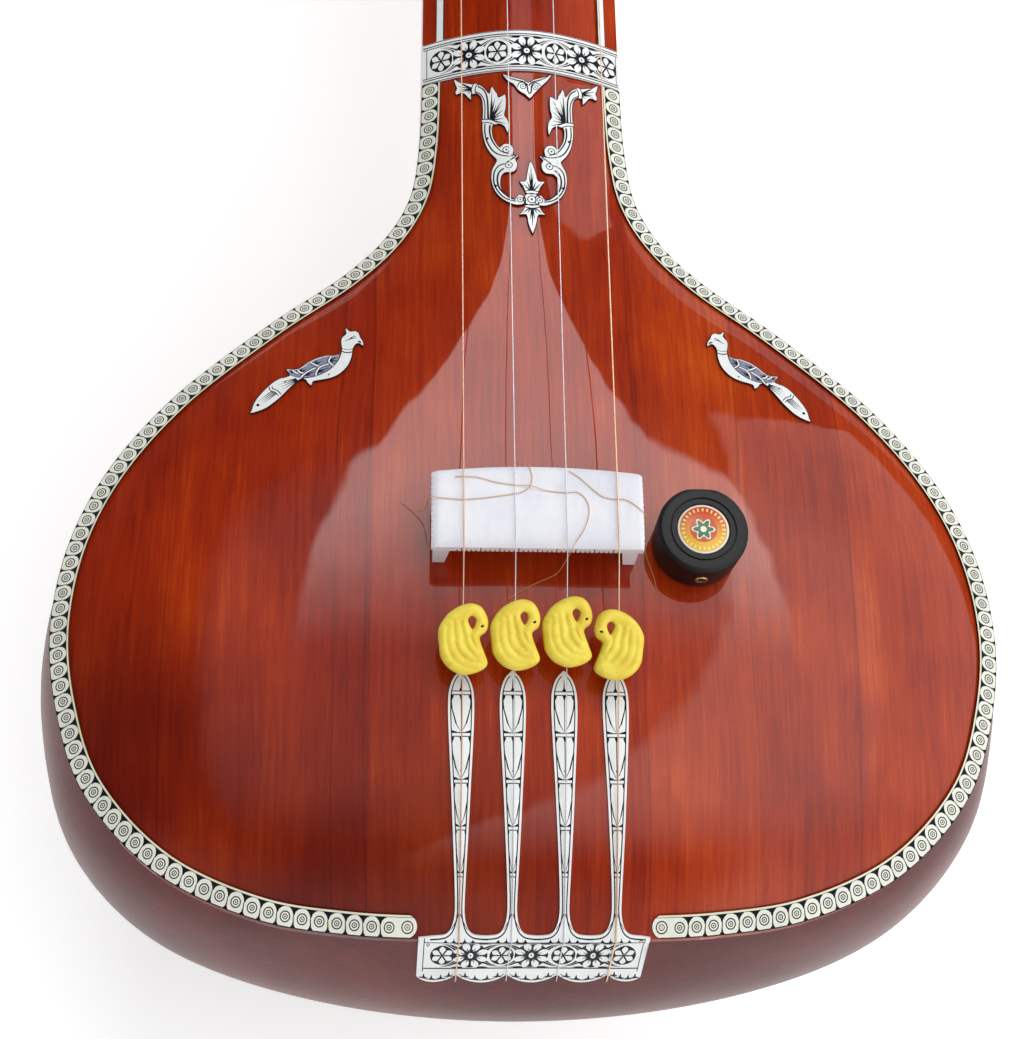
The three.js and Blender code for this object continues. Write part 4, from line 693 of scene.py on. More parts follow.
def border_edges(cells):
    """The directed edges that only one triangle has."""
    edges = {}
    for cell in cells:
        for a, b in zip(cell, cell[1:] + cell[:1]):
            edges[(a, b)] = 1
    return [(a, b) for a, b in edges if (b, a) not in edges]


def near_line(points, line):
    """Each point's distance to a line."""
    line = np.asarray(line, float)
    best = np.full(len(points), 1e9)
    for a, b in zip(line[:-1], line[1:]):
        v, w = b - a, points - a
        t = np.clip(w @ v / max(v @ v, 1e-12), 0, 1)
        best = np.minimum(best, np.linalg.norm(w - t[:, None] * v, axis=1))
    return best


def near_ring(points, ring):
    return near_line(points, np.vstack([ring, ring[:1]]))


def laid(name, sheet, top, under, materials, body, node, slot, sharp=38, side_colour=0):
    """A closed plate: the drawing laid at its top height and again at its lower side."""
    corners, cells, colours = sheet
    n = len(corners)
    faces = list(cells) + [tuple(n + k for k in reversed(cell)) for cell in cells]
    indices = list(colours) + [0] * len(cells)
    # Side faces take side_colour; where that is the ink, it is painted shade.
    for a, b in border_edges(cells):
        faces.append((b, a, n + a, n + b))
        indices.append(side_colour)
    mesh_piece(name, np.vstack([top, under]), faces, materials, body, node, slot,
               np.vstack([corners, corners]), indices, sharp)


def on_face(p, lift):
    return np.column_stack([p, height(p[:, 0], p[:, 1]) + lift])


# Soundboard, and the plates of the neck and head beyond it
LOW_BOARD = 3.6  # where the board's face is lower, it reaches down to the foot of its edge


def underside(z):
    return np.where(z < LOW_BOARD, -EDGE, z - BOARD)


right = rim.at(np.linspace(0, 1, 200))
right[-1] = (NECK_HALF, BODY_LENGTH)
outline = np.vstack([right, right[:0:-1] * (-1, 1)])
sheet = cut_sheet([outline], spacing=4.2)
corners = sheet[0]
at_joint = (corners[:, 1] > BODY_LENGTH - 1e-3) & (np.abs(corners[:, 0]) < NECK_HALF - 0.01)
z = height(corners[:, 0], corners[:, 1])
z[(near_ring(corners, outline) < 1e-3) & ~at_joint] = 0
laid("soundboard_plate", sheet, np.column_stack([corners, z]),
     np.column_stack([corners, underside(z)]), [board], "body", "soundboard", "soundboard")


def face_plate(name, from_y, to_y, rows, node):
    ys = np.linspace(from_y, to_y, rows)
    across = np.r_[np.linspace(-1, -0.8, 8), np.linspace(-0.8, 0.8, 30)[1:-1],
                   np.linspace(0.8, 1, 8)]
    x = neck_half(ys)[:, None] * across
    y = np.repeat(ys[:, None], len(across), 1)
    z = height(x, y)
    z[:, 0] = z[:, -1] = 0
    points, faces = shell(np.stack([x, y, z], -1), np.stack([x, y, underside(z)], -1))
    mesh_piece(name, points, faces, [neck_board], "body", node, "neck_face")


face_plate("neck_face_plate", BODY_LENGTH + GAP, HEAD_AT, 150, "neck_face")
face_plate("head_face_plate", HEAD_AT + GAP, HEAD_END, 30, "head_face")


CAP_RISE = CAP_LENGTH - 0.8  # the smooth dome stays inside the flat faces of the CAD shape


def head_cap():
    """The dome at the head's end, in rings that close towards its middle."""
    y = HEAD_END + GAP
    lower = section(neck_half(y), y, y, neck_depth(y), NECK_FLARE)
    x = neck_half(y) * np.linspace(-1, 1, 40)[1:-1]
    ys = np.full(len(x), y)
    outline = np.vstack([lower, np.column_stack([x, ys, height(x, ys)])])
    middle = np.array([0, y, BACK_TOP - HEAD_DEPTH / 2])
    rings = []
    for t in np.linspace(0, 1, 14):
        ring = lerp(middle, outline, 0.55 + 0.45 * math.cos(t * math.pi / 2) ** 0.75)
        ring[:, 1] = y + CAP_RISE * math.sin(t * math.pi / 2)
        rings.append(ring)
    rings.append(lerp(middle, rings[-1], 0.9) * (1, 0, 1) + (0, y + CAP_RISE, 0))
    rings = np.array(rings)
    n = rings.shape[1]
    faces = grid_faces(len(rings), n, closed_columns=True)
    faces.append(tuple(range(n - 1, -1, -1)))
    faces.append(tuple(range((len(rings) - 1) * n, len(rings) * n)))
    points = rings.reshape(-1, 3)
    floor_flat(mesh_piece("head_cap_turned", points, faces, [dark_wood], "body", "head_cap",
                          "cap", points[:, [0, 2]]))


head_cap()


# The tail plate's curved place: its profile at each x, and points along it
BEND_REACH = 3  # how far above the rim's edge the plate starts to bend


def bisected(low, high, before):
    """Where before turns from true to false, between low and high."""
    for _ in range(30):
        middle = (low + high) / 2
        inside = before(middle)
        low, high = np.where(inside, middle, low), np.where(inside, high, middle)
    return high


def rim_y_at(x):
    x = np.abs(np.asarray(x, float))
    return rim.at(bisected(np.zeros(x.shape), np.full(x.shape, 0.3),
                           lambda share: rim.at(share)[..., 0] < x))[..., 1]


def tail_wall_y(x, drop):
    """Where the gourd's wall is at the tail, below its upper edge by a drop."""
    x, drop = np.broadcast_arrays(np.asarray(x, float), drop)
    flare = bulge_table[0][1]
    lean = math.asin(flare / (1 - flare))

    def outside(share):
        half, deep = rim.at(share)[..., 0], -back.at(share)[..., 1]
        rise = (drop / np.maximum(deep, 1e-6) - flare) / (1 - flare)
        return 1 - (x * math.cos(lean) / np.maximum(half, 1e-6)) ** 2 - rise**2 < 0

    share = bisected(np.zeros(x.shape), np.full(x.shape, 0.24), outside)
    side, bottom = rim.at(share), back.at(share)
    return lerp(side[..., 1], bottom[..., 0], drop / -bottom[..., 1])


def plate_drop(x):
    lobe = np.abs(np.sin(math.pi * (np.asarray(x) - STRING_X[0]) / STRING_SPACING))
    return PLATE_DROP - PLATE_SCALLOP * (1 - lobe)


def plate_profile(x):
    rim_y = float(rim_y_at(x))
    drops = np.array([0.1, 0.35, 0.65, 1]) * float(plate_drop(x))
    walls = tail_wall_y(x, drops)
    start = rim_y + BEND_REACH
    return np.array([(start, float(height(x, start))), (rim_y, 0), (rim_y, -EDGE)]
                    + [(y, BACK_TOP - d) for y, d in zip(walls, drops)])


def offset_profile(x, profile, distance):
    step = np.diff(profile, axis=0)
    turned = np.column_stack([step[:, 1], -step[:, 0]])
    turned /= np.linalg.norm(turned, axis=1)[:, None]
    before = np.vstack([turned[:1], turned])
    after = np.vstack([turned, turned[-1:]])
    out = before + after
    out /= np.linalg.norm(out, axis=1)[:, None]
    reach = distance / (out * before).sum(1)
    moved = profile + out * reach[:, None]
    return np.column_stack([np.full(len(moved), x), moved])


# Strings, taut from the tail wall over the plate, the bridge and the nut
def string_at_nut(radius):
    return NUT_TOP - 0.8 + GAP + radius


guide_exit = GUIDE_AT + GUIDE_LENGTH / 2
guide_hole_z = string_at_nut(STRING_RADII[0]) - 2.5
winding_reach = (PEG_SHAFT + GAP + 0.45) / math.cos(math.pi / 10)
beside = [winding_reach + 0.45 + GAP + r for r in STRING_RADII]


def taut(points):
    kept = []
    for p in points:
        while len(kept) > 1:
            a, q = kept[-2], kept[-1]
            if q[2] - lerp(a[2], p[2], (q[1] - a[1]) / (p[1] - a[1])) <= 0:
                kept.pop()
            else:
                break
        kept.append(p)
    return kept


peg_xs = [None, STRING_X[1] - beside[1], STRING_X[2] + beside[2], None]
peg_frames, bead_frames = [], []
for x, y, side in zip(peg_xs, PEG_YS, (-1, 0, 0, 1)):
    if side:
        half = float(neck_half(y))
        turn = np.array([[0, side, 0], [-side, 0, 0], [0, 0, 1]])
        peg_frames.append((np.array([side * half, y, PEG_Z]), turn, 2 * half))
    else:
        surface = float(height(x, y))
        turn = np.array([[1, 0, 0], [0, 0, -1], [0, 1, 0]])
        peg_frames.append((np.array([x, y, surface]), turn, surface - BACK_TOP + neck_depth(y)))
SEEN = 0.75  # a string's look against the radius of its rod
for i, (x, radius) in enumerate(zip(STRING_X, STRING_RADII)):
    lift = GAP + INLAY + GAP + radius
    edge = offset_profile(x, plate_profile(x), lift)
    ys = SPOON_TIP * np.arange(1, 25) / 24
    xs = np.full(len(ys), x)
    over = np.column_stack([xs, ys, height(xs, ys) + lift])
    by = BRIDGE_AT + np.array([-1, -0.6, 0, 0.6, 1]) * BRIDGE_DEPTH / 2
    bridge_line = np.column_stack([np.full(5, x), by, bridge_top(by) + 2 * GAP + 0.5 + radius])
    nut_point = np.array([x, NUT_AT - NUT_LENGTH / 2, string_at_nut(radius)])
    line = taut([edge[1], *over, *bridge_line, nut_point])
    position = peg_frames[i][0]
    if i in (0, 3):
        end = position + ((-6 if i == 0 else 6), 0, beside[i])
    else:
        end = np.array([x, position[1], position[2] + 6])
    wall = edge[:0:-1]
    route = [(x, 14, ANCHOR_Z), (x, wall[0][1], ANCHOR_Z), *wall[:-1], *line,
             (x, guide_exit, guide_hole_z), end]
    wire(f"string_{i + 1}_wire", route, SEEN * radius, string_materials[i], "body",
         f"string_{i + 1}")
    k = next(k for k, p in enumerate(line) if p[1] > BEAD_AT[i])
    a, b = line[k - 1], line[k]
    lean = math.atan2(b[2] - a[2], b[1] - a[1])
    bead_frames.append((lerp(a, b, (BEAD_AT[i] - a[1]) / (b[1] - a[1])), lean))


def in_frame(points, place, turn):
    return np.asarray(points, float) @ np.asarray(turn, float).T + place


# Pegs, turned from one profile, with the strings' turns on them
grip = [(0.45, 0.06), (0.62, 0.1), (0.62, 0.2), (0.42, 0.28), (0.85, 0.42), (1, 0.6),
        (0.9, 0.8), (0.5, 0.93), (0.2, 1)]


def turned(profile, steps=64):
    """A body of revolution about the second axis."""
    angle = np.linspace(0, 2 * math.pi, steps, endpoint=False)
    profile = np.asarray(profile, float)
    rings = np.stack([profile[:, :1] * np.cos(angle), np.repeat(profile[:, 1:], steps, 1),
                      profile[:, :1] * np.sin(angle)], -1)
    faces = grid_faces(len(profile), steps, closed_columns=True)
    faces.append(tuple(range(steps)))
    faces.append(tuple(range(len(profile) * steps - 1, (len(profile) - 1) * steps - 1, -1)))
    return rings.reshape(-1, 3), flipped(faces)


COLLAR = 0.9
for i, (place, turn, inside) in enumerate(peg_frames, 1):
    tip = -inside - 5
    head = spline([(w * PEG_HEAD, PEG_NECK + s * PEG_GRIP) for w, s in grip[:-1]]
                  + [(2.2, PEG_NECK + PEG_GRIP)], 7)
    profile = [(0.4, tip), (PEG_TIP - 0.8, tip), (PEG_TIP, tip + 0.8), (PEG_SHAFT, 0),
               (PEG_SHAFT, PEG_NECK - 7), (PEG_SHAFT + COLLAR, PEG_NECK - 6),
               (PEG_SHAFT + COLLAR, PEG_NECK - 4.6), (PEG_SHAFT, PEG_NECK - 3.8),
               (PEG_SHAFT, PEG_NECK - 0.6), *head, (0.3, PEG_NECK + PEG_GRIP)]
    points, faces = turned(profile)
    uv = np.column_stack([np.tile(np.linspace(0, 40, 64), len(profile)), points[:, 1]])
    mesh_piece(f"peg_{i}_turned", in_frame(points, place, turn), faces, [dark_wood],
               f"peg_{i}", f"peg_{i}", "peg", uv)
    t = np.linspace(0, 3, 3 * 48 + 1)
    coil = np.column_stack([winding_reach * np.cos(2 * math.pi * t), 6 + 1.6 * t,
                            winding_reach * np.sin(2 * math.pi * t)])
    wire(f"winding_{i}_turns", in_frame(coil, place, turn), 0.45, string_materials[i - 1],
         f"peg_{i}", f"winding_{i}")


# Swan beads, in relief on both sides
swan = [(0.171, 0.5), (0.338, 0.463), (0.445, 0.367), (0.5, 0.227), (0.46, 0.108), (0.338, 0.029),
        (0.36, -0.063), (0.43, -0.192), (0.494, -0.343), (0.4, -0.424), (0.08, -0.5),
        (-0.134, -0.472), (-0.317, -0.386), (-0.44, -0.257), (-0.476, -0.106), (-0.5, 0.109),
        (-0.454, 0.205), (-0.317, 0.345), (-0.134, 0.442), (0.018, 0.485)]
swan_opening = [(0.095, 0.28), (0.17, 0.325), (0.247, 0.29), (0.255, 0.235), (0.185, 0.14),
                (0.12, 0.2)]
# Feathers, then the neck: a line each, its half width and its height
swan_ridges = [
    ([(-5.2, 6.0), (-5.4, 0.5), (-3.9, -5.4), (0.2, -9.9), (6.2, -11.3)], 1.7, 1.0),
    ([(-2.9, 7.0), (-2.4, 3.8), (-1.8, 0.9)], 1.5, 1.1),
    ([(-1.9, -1.2), (-0.6, -4.4), (2.4, -7.4)], 1.5, 1.1),
    ([(0.5, 6.6), (1.2, 4.0), (1.9, 1.6)], 1.4, 1.1),
    ([(2.1, -0.4), (3.2, -2.8), (5.2, -5.2)], 1.4, 1.1),
    ([(4.3, 1.6), (5.4, -0.7), (6.9, -3.0)], 1.2, 0.9),
    ([(3.9, -8.6), (5.8, -8.9), (7.6, -8.8)], 1.2, 0.8),
    ([(-3.4, 10.4), (3.0, 12.4), (7.9, 9.6), (8.4, 5.6), (6.0, 2.6)], 3.0, 0.9),
    ([(-8.2, 4.0), (-8.2, -4.0), (-4.5, -10.5), (3.0, -13.2)], 1.8, 0.7),
]


def closed_spline(points, n=8):
    p = np.asarray(points, float)
    line = spline(np.vstack([p[-3:], p, p[:4]]), n)
    return line[3 * n:(3 + len(p)) * n]



def circle(x, y, radius, steps=16, squash=1.0, turn=0.0):
    angle = np.linspace(0, 2 * math.pi, steps, endpoint=False)
    p = np.column_stack([radius * np.cos(angle), radius * squash * np.sin(angle)])
    c, s = math.cos(turn), math.sin(turn)
    return p @ np.array([[c, s], [-s, c]]) + (x, y)


def rounded(distance):
    """The height of a quarter round at a share of its width."""
    return np.sqrt(1 - (1 - distance) ** 2)


BEAD_SIZE, EYE = (21, 30), (7.9, 5.4)
swan_line = closed_spline(np.array(swan) * BEAD_SIZE, 5)
opening_line = closed_spline(np.array(swan_opening) * BEAD_SIZE, 5)
flat, swan_cells, swan_colours = cut_sheet([swan_line], [(circle(*EYE, 0.75, 14, 0.7, 0.3), 1)],
                                           0.62, [opening_line])
from_edge = np.clip(near_ring(flat, swan_line) / 3.0, 0, 1)
from_hole = np.clip(near_ring(flat, opening_line) / 1.4, 0, 1)
level = 2.3 + 1.8 * rounded(from_edge) * (0.55 + 0.45 * rounded(from_hole))
relief = np.zeros(len(flat))
for line, wide, rise in swan_ridges:
    near = np.clip(near_line(flat, spline(line, 6)) / wide, 0, 1)
    relief = np.maximum(relief, rise * (1 - near**2) ** 0.8)
relief *= np.clip(from_edge * 1.6, 0, 1) * from_hole
eye = np.clip(np.hypot(flat[:, 0] - EYE[0], flat[:, 1] - EYE[1]) / 1.0, 0, 1)
level = level + relief * 0.62 - 0.5 * (1 - eye**2)
for i, (place, lean) in enumerate(bead_frames, 1):
    mirror = -1 if i == 4 else 1
    turn = np.array(Matrix.Rotation(lean, 3, "X"))
    top, low = [in_frame(np.column_stack([flat * (mirror, 1), z]), place, turn)
                for z in (level, -level)]
    cells = flipped(swan_cells) if mirror < 0 else swan_cells
    laid(f"bead_{i}_swan", (flat, cells, swan_colours), top, low, [yellow, ink],
         f"bead_{i}", f"bead_{i}", "bead", sharp=60)


# Bridge: a bench with a rounded front, worn shoulders and a notched lower edge
def fresh(name, points, faces):
    mesh = bpy.data.meshes.new(name)
    mesh.from_pydata(np.asarray(points, float).tolist(), [], [list(map(int, f)) for f in faces])
    return linked(name, mesh)


def boxes(places):
    points, faces = [], []
    for low, high in places:
        n = len(points)
        points += [[(low, high)[k >> a & 1][a] for a in range(3)] for k in range(8)]
        faces += [[n + k for k in f] for f in ((0, 2, 3, 1), (4, 5, 7, 6), (0, 1, 5, 4),
                                               (2, 6, 7, 3), (0, 4, 6, 2), (1, 3, 7, 5))]
    return points, faces


def combined(base, other, operation):
    """base joined with or cut by other, as a plain mesh."""
    step = base.modifiers.new("combine", "BOOLEAN")
    step.operation, step.object, step.solver = operation, other, "EXACT"
    view = bpy.context.evaluated_depsgraph_get()
    made = bpy.data.meshes.new_from_object(base.evaluated_get(view))
    base.modifiers.clear()
    base.data = made
    bpy.data.objects.remove(other)
    return base


def taken(made):
    """The points and faces of a shape that isn't needed any more."""
    points = np.array([v.co for v in made.data.vertices])
    faces = [tuple(f.vertices) for f in made.data.polygons]
    bpy.data.objects.remove(made)
    return points, faces


def close(distance, reach):
    """1 at an edge, down to 0 at reach from it."""
    return np.clip(1 - distance / reach, 0, 1)


wide, deep, front = 2 * BRIDGE_HALF, BRIDGE_DEPTH, BRIDGE_AT - BRIDGE_DEPTH / 2
under = BRIDGE_TOP - 8
across = np.r_[0, 0.15, 0.5, 1, 1.6, 2.3, 3.2, 5, np.linspace(8, 83, 26),
               86, 88.4, 89.4, 90.2, 90.7, wide]
along = np.r_[0, 0.12, 0.4, 0.8, 1.4, 2.1, 3, 4.2, 6, np.linspace(8, 30, 12), 32, 33.2, 33.7, deep]
u, v = np.meshgrid(across, along)
x = u - BRIDGE_HALF
bow = 3 * (1 - (x / BRIDGE_HALF) ** 2)
y = front + v + bow * (v / deep) ** 4
y += 0.5 * close(u, 2) ** 2 * (v < deep / 2) - 0.6 * close(wide - u, 3) ** 2 * (v > deep / 2)
z = (bridge_top(y) - 1.5 * close(u, 3) ** 1.6 - 0.9 * close(wide - u, 1.8) ** 2
     - 2.6 * close(v, 5) ** 2 - 0.6 * close(deep - v, 1.2) ** 2)
points, faces = shell(np.stack([x, y, z], -1), np.stack([x, y, np.full(x.shape, under)], -1))
bench = fresh("bridge_bench", points, faces)
# Its feet: how wide each is at three heights, the last of them on the soundboard
FOOT_DEPTH = 14.6
for side in (-1, 1):
    outer = BRIDGE_HALF - 1.2
    corners = []
    for width, foot_z in ((8.4, under + 1), (7.6, under - 1.5), (5.2, None)):
        for a, b in ((outer, -FOOT_DEPTH), (outer, FOOT_DEPTH), (outer - width, FOOT_DEPTH),
                     (outer - width, -FOOT_DEPTH)):
            a, b = side * a, BRIDGE_AT + b
            corners.append((a, b, float(height(a, b)) + GAP if foot_z is None else foot_z))
    order = [tuple(range(4)), (11, 10, 9, 8)]
    order += [(i * 4 + (k + 1) % 4, i * 4 + k, i * 4 + 4 + k, i * 4 + 4 + (k + 1) % 4)
              for i in range(2) for k in range(4)]
    if side > 0:
        order = flipped(order)
    combined(bench, fresh("foot", corners, order), "UNION")
# Notches in its front's lower edge, and saw marks up its ends
slots = []
for k in range(35):
    at = -34.4 + 2.03 * k
    top = under + (3.7 if k % 4 == 1 else 1.7)
    slots.append(((at - 0.28, front - 1, under - 1), (at + 0.28, front + 2.4, top)))
for side in (-1, 1):
    near, far = sorted((side * (BRIDGE_HALF + 1), side * (BRIDGE_HALF - 0.45)))
    for k in range(12):
        at = BRIDGE_AT - 13.6 + 2.5 * k
        slots.append(((near, at - 0.3, under - 1), (far, at + 0.3, BRIDGE_TOP + 1)))
combined(bench, fresh("notches", *boxes(slots)), "DIFFERENCE")
mesh_piece("bridge_carved", *taken(bench), [bridge_material], "body", "bridge", "bridge", sharp=32)

# Nut and string guide keep their CAD shapes; so do the hidden blocks
for node, look in (("nut", bone), ("string_guide", bone), ("tail_block", raw), ("neck_block", raw)):
    frame["nodes"][node].data.materials.clear()
    frame["nodes"][node].data.materials.append(look)

# Pickup: a round moulded housing with a flat on its far side, square to the soundboard
PICKUP_ROUND, LABEL_AT = 2.2, PICKUP_H - 1.2
rise = (float(height(PICKUP_X + PICKUP_R, PICKUP_Y))
        - float(height(PICKUP_X - PICKUP_R, PICKUP_Y)))
pickup_turn = np.array(Matrix.Rotation(-math.atan(rise / (2 * PICKUP_R)), 3, "Y"))
pickup_place = np.array([PICKUP_X, PICKUP_Y, float(height(PICKUP_X, PICKUP_Y)) + GAP])


def pickup_piece(name, points, faces, look, node, slot, **more):
    mesh_piece(name, in_frame(points, pickup_place, pickup_turn), faces, [look], "body", node,
               slot, **more)


def upright(profile, steps):
    """A body of revolution about the third axis."""
    points, faces = turned(profile, steps)
    return points[:, [0, 2, 1]] * (1, -1, 1), faces


corner = [(PICKUP_R - PICKUP_ROUND + PICKUP_ROUND * math.sin(a),
           PICKUP_H - PICKUP_ROUND + PICKUP_ROUND * math.cos(a))
          for a in np.linspace(0, math.pi / 2, 9)]
points, faces = upright([
    (0.2, 0), (18.2, 0), (18.9, 0.3), (19.2, 1.2), (PICKUP_R - 0.4, 6), *reversed(corner),
    (14.75, 21), (14.6, 20.85), (14.55, 20.3), (14.1, 20.3), (14.05, 20.85), (13.9, 21),
    (11.9, 21), (11.65, 20.85), (11.6, LABEL_AT), (0.2, LABEL_AT)], 96)
points[:, 1] = np.minimum(points[:, 1], PICKUP_R - 1.4)
housing = fresh("pickup", points, faces)
bore, bore_faces = turned([(3.3, -5.3), (3.3, 5.3)], 32)
combined(housing, fresh("bore", bore + (0, -PICKUP_R, PICKUP_H / 2), bore_faces), "DIFFERENCE")
points, faces = taken(housing)
pickup_piece("pickup_housing", points, faces, black, "pickup_body", "pickup", uv=points, sharp=30)
points, faces = upright([(0.2, 0), (11.2, 0), (11.3, 0.1), (11.3, 0.42), (11.18, 0.5), (0.2, 0.5)],
                        96)
pickup_piece("pickup_label_disc", points + (0, 0, LABEL_AT + GAP), faces, label_material,
             "pickup_label", "label", uv=points)
ring_profile = [(1.7, -2.4), (1.9, -2.5), (2.7, -2.5), (3.0, -2.2), (3.0, 2.5), (1.7, 2.5)]
points, faces = turned(ring_profile, 40)
last = (len(ring_profile) - 1) * 40
faces = faces[:-2] + [(last + (k + 1) % 40, last + k, k, (k + 1) % 40) for k in range(40)]
pickup_piece("pickup_socket_ring", points + (0, 2.5 - PICKUP_R, PICKUP_H / 2), faces, brass,
             "pickup_socket", "socket")

# Drawings on the engraved pieces: closed rings, each with its colour; later ones lie on top
INK, WASH, BRASS, CREAM = 1, 2, 3, 4


def inky(rings):
    return [(ring, INK) for ring in rings]


def between(one, other):
    """The closed ring of the band between two lines."""
    return np.vstack([one, other[::-1]])


def leftward(line):
    """Unit steps to the left of a line, at each of its points."""
    ahead = np.gradient(line, axis=0)
    ahead /= np.linalg.norm(ahead, axis=1)[:, None]
    return np.column_stack([-ahead[:, 1], ahead[:, 0]])


def stroke(points, widths, n=4):
    """A drawn line whose width runs through widths from end to end."""
    line = spline(points, n)
    half = np.interp(np.linspace(0, 1, len(line)), np.linspace(0, 1, len(widths)), widths) / 2
    side = leftward(line) * np.maximum(half, 0.02)[:, None]
    return between(line + side, line - side)


def edged(points, width, line=0.5):
    """A white band between two drawn lines."""
    return [(stroke(points, [width + 2 * line]), INK), (stroke(points, [width]), 0)]


def leaf(base, tip, width, full=0.4, bend=0.0, n=7):
    """A leaf from base to tip, fullest at a share of its length."""
    base, tip = np.asarray(base, float), np.asarray(tip, float)
    along = tip - base
    across = np.array([-along[1], along[0]])
    t = np.linspace(0, 1, n + 1)[:, None]
    middle = base + along * t + across * bend * 4 * t * (1 - t)
    swell = np.sin(math.pi * t ** (math.log(0.5) / math.log(full)))
    half = across * (swell * width / 2 / np.linalg.norm(along))
    return np.vstack([middle + half, (middle - half)[-2:0:-1]])


def target(x, y, *radii):
    """Rings one in another, ink and white in turn."""
    return [(circle(x, y, r, 16 if r > 0.7 else 10), INK if k % 2 == 0 else 0)
            for k, r in enumerate(radii)]


def around(x, y, wide, tall, ring):
    return np.asarray(ring) * (wide, tall) + (x, y)


def ray(angle, radius):
    return radius * math.cos(angle), radius * math.sin(angle)


def rosette(x, y, wide, tall):
    """Six round petals on an oval of ink."""
    shapes = inky([circle(0, 0, 1, 24)])
    for k in range(6):
        angle = math.pi / 2 + k * math.pi / 3
        shapes.append((leaf(ray(angle, 0.1), ray(angle, 0.93), 0.52, 0.64), 0))
    return [(around(x, y, wide, tall, ring), colour) for ring, colour in shapes]


def flower(x, y, wide, tall):
    """Eight pointed petals, hatched towards a ringed centre."""
    shapes = inky([circle(0, 0, 1, 20)])
    for k in range(8):
        angle = (k + 0.5) * math.pi / 4
        shapes.append((leaf(ray(angle, 0.12), ray(angle, 1.1), 0.45, 0.66), 0))
        shapes += inky([stroke([ray(angle, 0.16), ray(angle + lean, reach)], [width, 0], 1)
                        for lean, reach, width in ((-0.2, 0.5, 0.07), (0, 0.64, 0.09),
                                                   (0.2, 0.5, 0.07))])
    shapes = [(around(x, y, wide, tall, ring), colour) for ring, colour in shapes]
    for size, colour in ((0.24, INK), (0.19, 0), (0.06, INK)):
        shapes.append((circle(x, y, size * (wide + tall) / 2, 12), colour))
    return shapes


def frieze(centres, y, tall):
    """Rosettes and flowers in turn, with long leaves that sweep between them."""
    shapes = []
    step = (centres[-1] - centres[0]) / (len(centres) - 1)
    for k, x in enumerate(centres):
        if k % 2 == 0:
            shapes += rosette(x, y, 0.4 * step, 0.76 * tall)
            continue
        for reach in (-step, step):
            for rise in (-tall, tall):
                outer, inner, tip = [around(x, y, reach, rise, line) for line in (
                    [(0.38, 0.5), (0.68, 0.8), (1, 0.93)],
                    [(0.42, 0.22), (0.62, 0.62), (0.86, 0.82)], [(0.2, 0.98), (0.66, 0.95)])]
                shapes += inky([stroke(outer, [0.9, 0.5, 0.1]), stroke(inner, [1.3, 0.5, 0.1]),
                                leaf(*tip, 0.16 * tall, 0.3)])
        shapes += flower(x, y, 0.56 * step, 0.98 * tall)
    return shapes


def on_front(name, outlines, shapes, node, slot, spacing, side_colour=0, turned_over=None):
    """An engraved piece on the soundboard or neck face, cut from its drawing and laid on."""
    corners, cells, colours = cut_sheet(outlines, shapes, spacing)
    places = corners
    if turned_over:
        places, cells = turned_over(corners), flipped(cells)
    laid(name, (corners, cells, colours), on_face(places, GAP + INLAY), on_face(places, GAP),
         engraved, "body", node, slot, side_colour=side_colour)


engraved = [white, ink, wash, brass, cream]

# Neck lines: white between two dark lines
BAND_TOP = 444
for side, name in ((-1, "left"), (1, "right")):
    ys = np.linspace(BAND_TOP + GAP, 1176.2, 160)
    far, near = side * (neck_half(ys) - 6.5), side * (neck_half(ys) - 10.5)
    outer, dark_outer, dark_inner, inner = [
        np.column_stack([xs, ys]) for xs in (far, far - side * 0.3, near + side * 0.6, near)]
    on_front(f"neck_line_{name}_inlay", [between(outer, inner)],
             inky([between(outer, dark_outer), between(inner, dark_inner)]),
             f"neck_line_{name}", "inlay", 5)


def at_level(xs, y):
    return np.column_stack([xs, np.full(len(xs), y)])


# Rim strips: a ringed tile again and again, between a dark edge and a cream line
TILE, STRIP_END = 7.35, 8
strip_shares = np.linspace(0, 1, 2001)
strip_path = rim.at(strip_shares)
strip_from = float(np.interp(49.6, strip_path[:700, 0], strip_shares[:700])) * rim.length
strip_to = float(np.interp(420.3, strip_path[1200:, 1], strip_shares[1200:])) * rim.length
strip_along = np.linspace(strip_from, strip_to, 280)
half_turn = np.linspace(math.pi / 2, 3 * math.pi / 2, 18)
strip_ring = np.vstack([
    between(at_level(strip_along[3:], 0), at_level(strip_along[3:], STRIP_WIDTH)),
    np.column_stack([strip_from + STRIP_WIDTH / 2 * (1 + np.cos(half_turn)),
                     STRIP_WIDTH / 2 * (1 + np.sin(half_turn))])])
tiles = round((strip_to - strip_from - STRIP_END) / TILE)
pitch = (strip_to - strip_from - STRIP_END) / tiles
# The band of ink from 8.8 to the strip's width is a painted shadow line where the strip meets the
# board.
strip_shapes = [(between(at_level(strip_along, a), at_level(strip_along, b)), colour)
                for a, b, colour in ((0, 0.3, INK), (7.95, STRIP_WIDTH, CREAM), (7.8, 8.0, INK),
                                     (8.8, STRIP_WIDTH, INK))]
for k in range(tiles):
    s = strip_from + STRIP_END + (k + 0.5) * pitch
    strip_shapes += target(s, 3.9, 2.3, 1.8, 1.15, 0.75, 0.35)
    strip_shapes += inky([np.array(gusset) + (s, 0) for gusset in (
        [(2.2, 0.2), (3.1, 1.3), (3.3, 2.4), (3.75, 4.9), (4.1, 4.8), (3.8, 2.4), (3.95, 1.2),
         (4.7, 0.2)],
        [(0.7, 7.9), (2.2, 7.2), (3.1, 6.3), (3.5, 4.8), (3.9, 4.8), (4.5, 6.2), (5.2, 7.0),
         (6.4, 7.9)])])
end = strip_from + 4
strip_shapes += target(end, 4.2, 2.6, 2.1, 1.3, 0.95) + [(circle(end, 4.2, 0.6, 10), BRASS)]
corners, cells, colours = cut_sheet([strip_ring], strip_shapes, 1.7)
across = inset(rim, corners[:, 0] / rim.length, corners[:, 1])
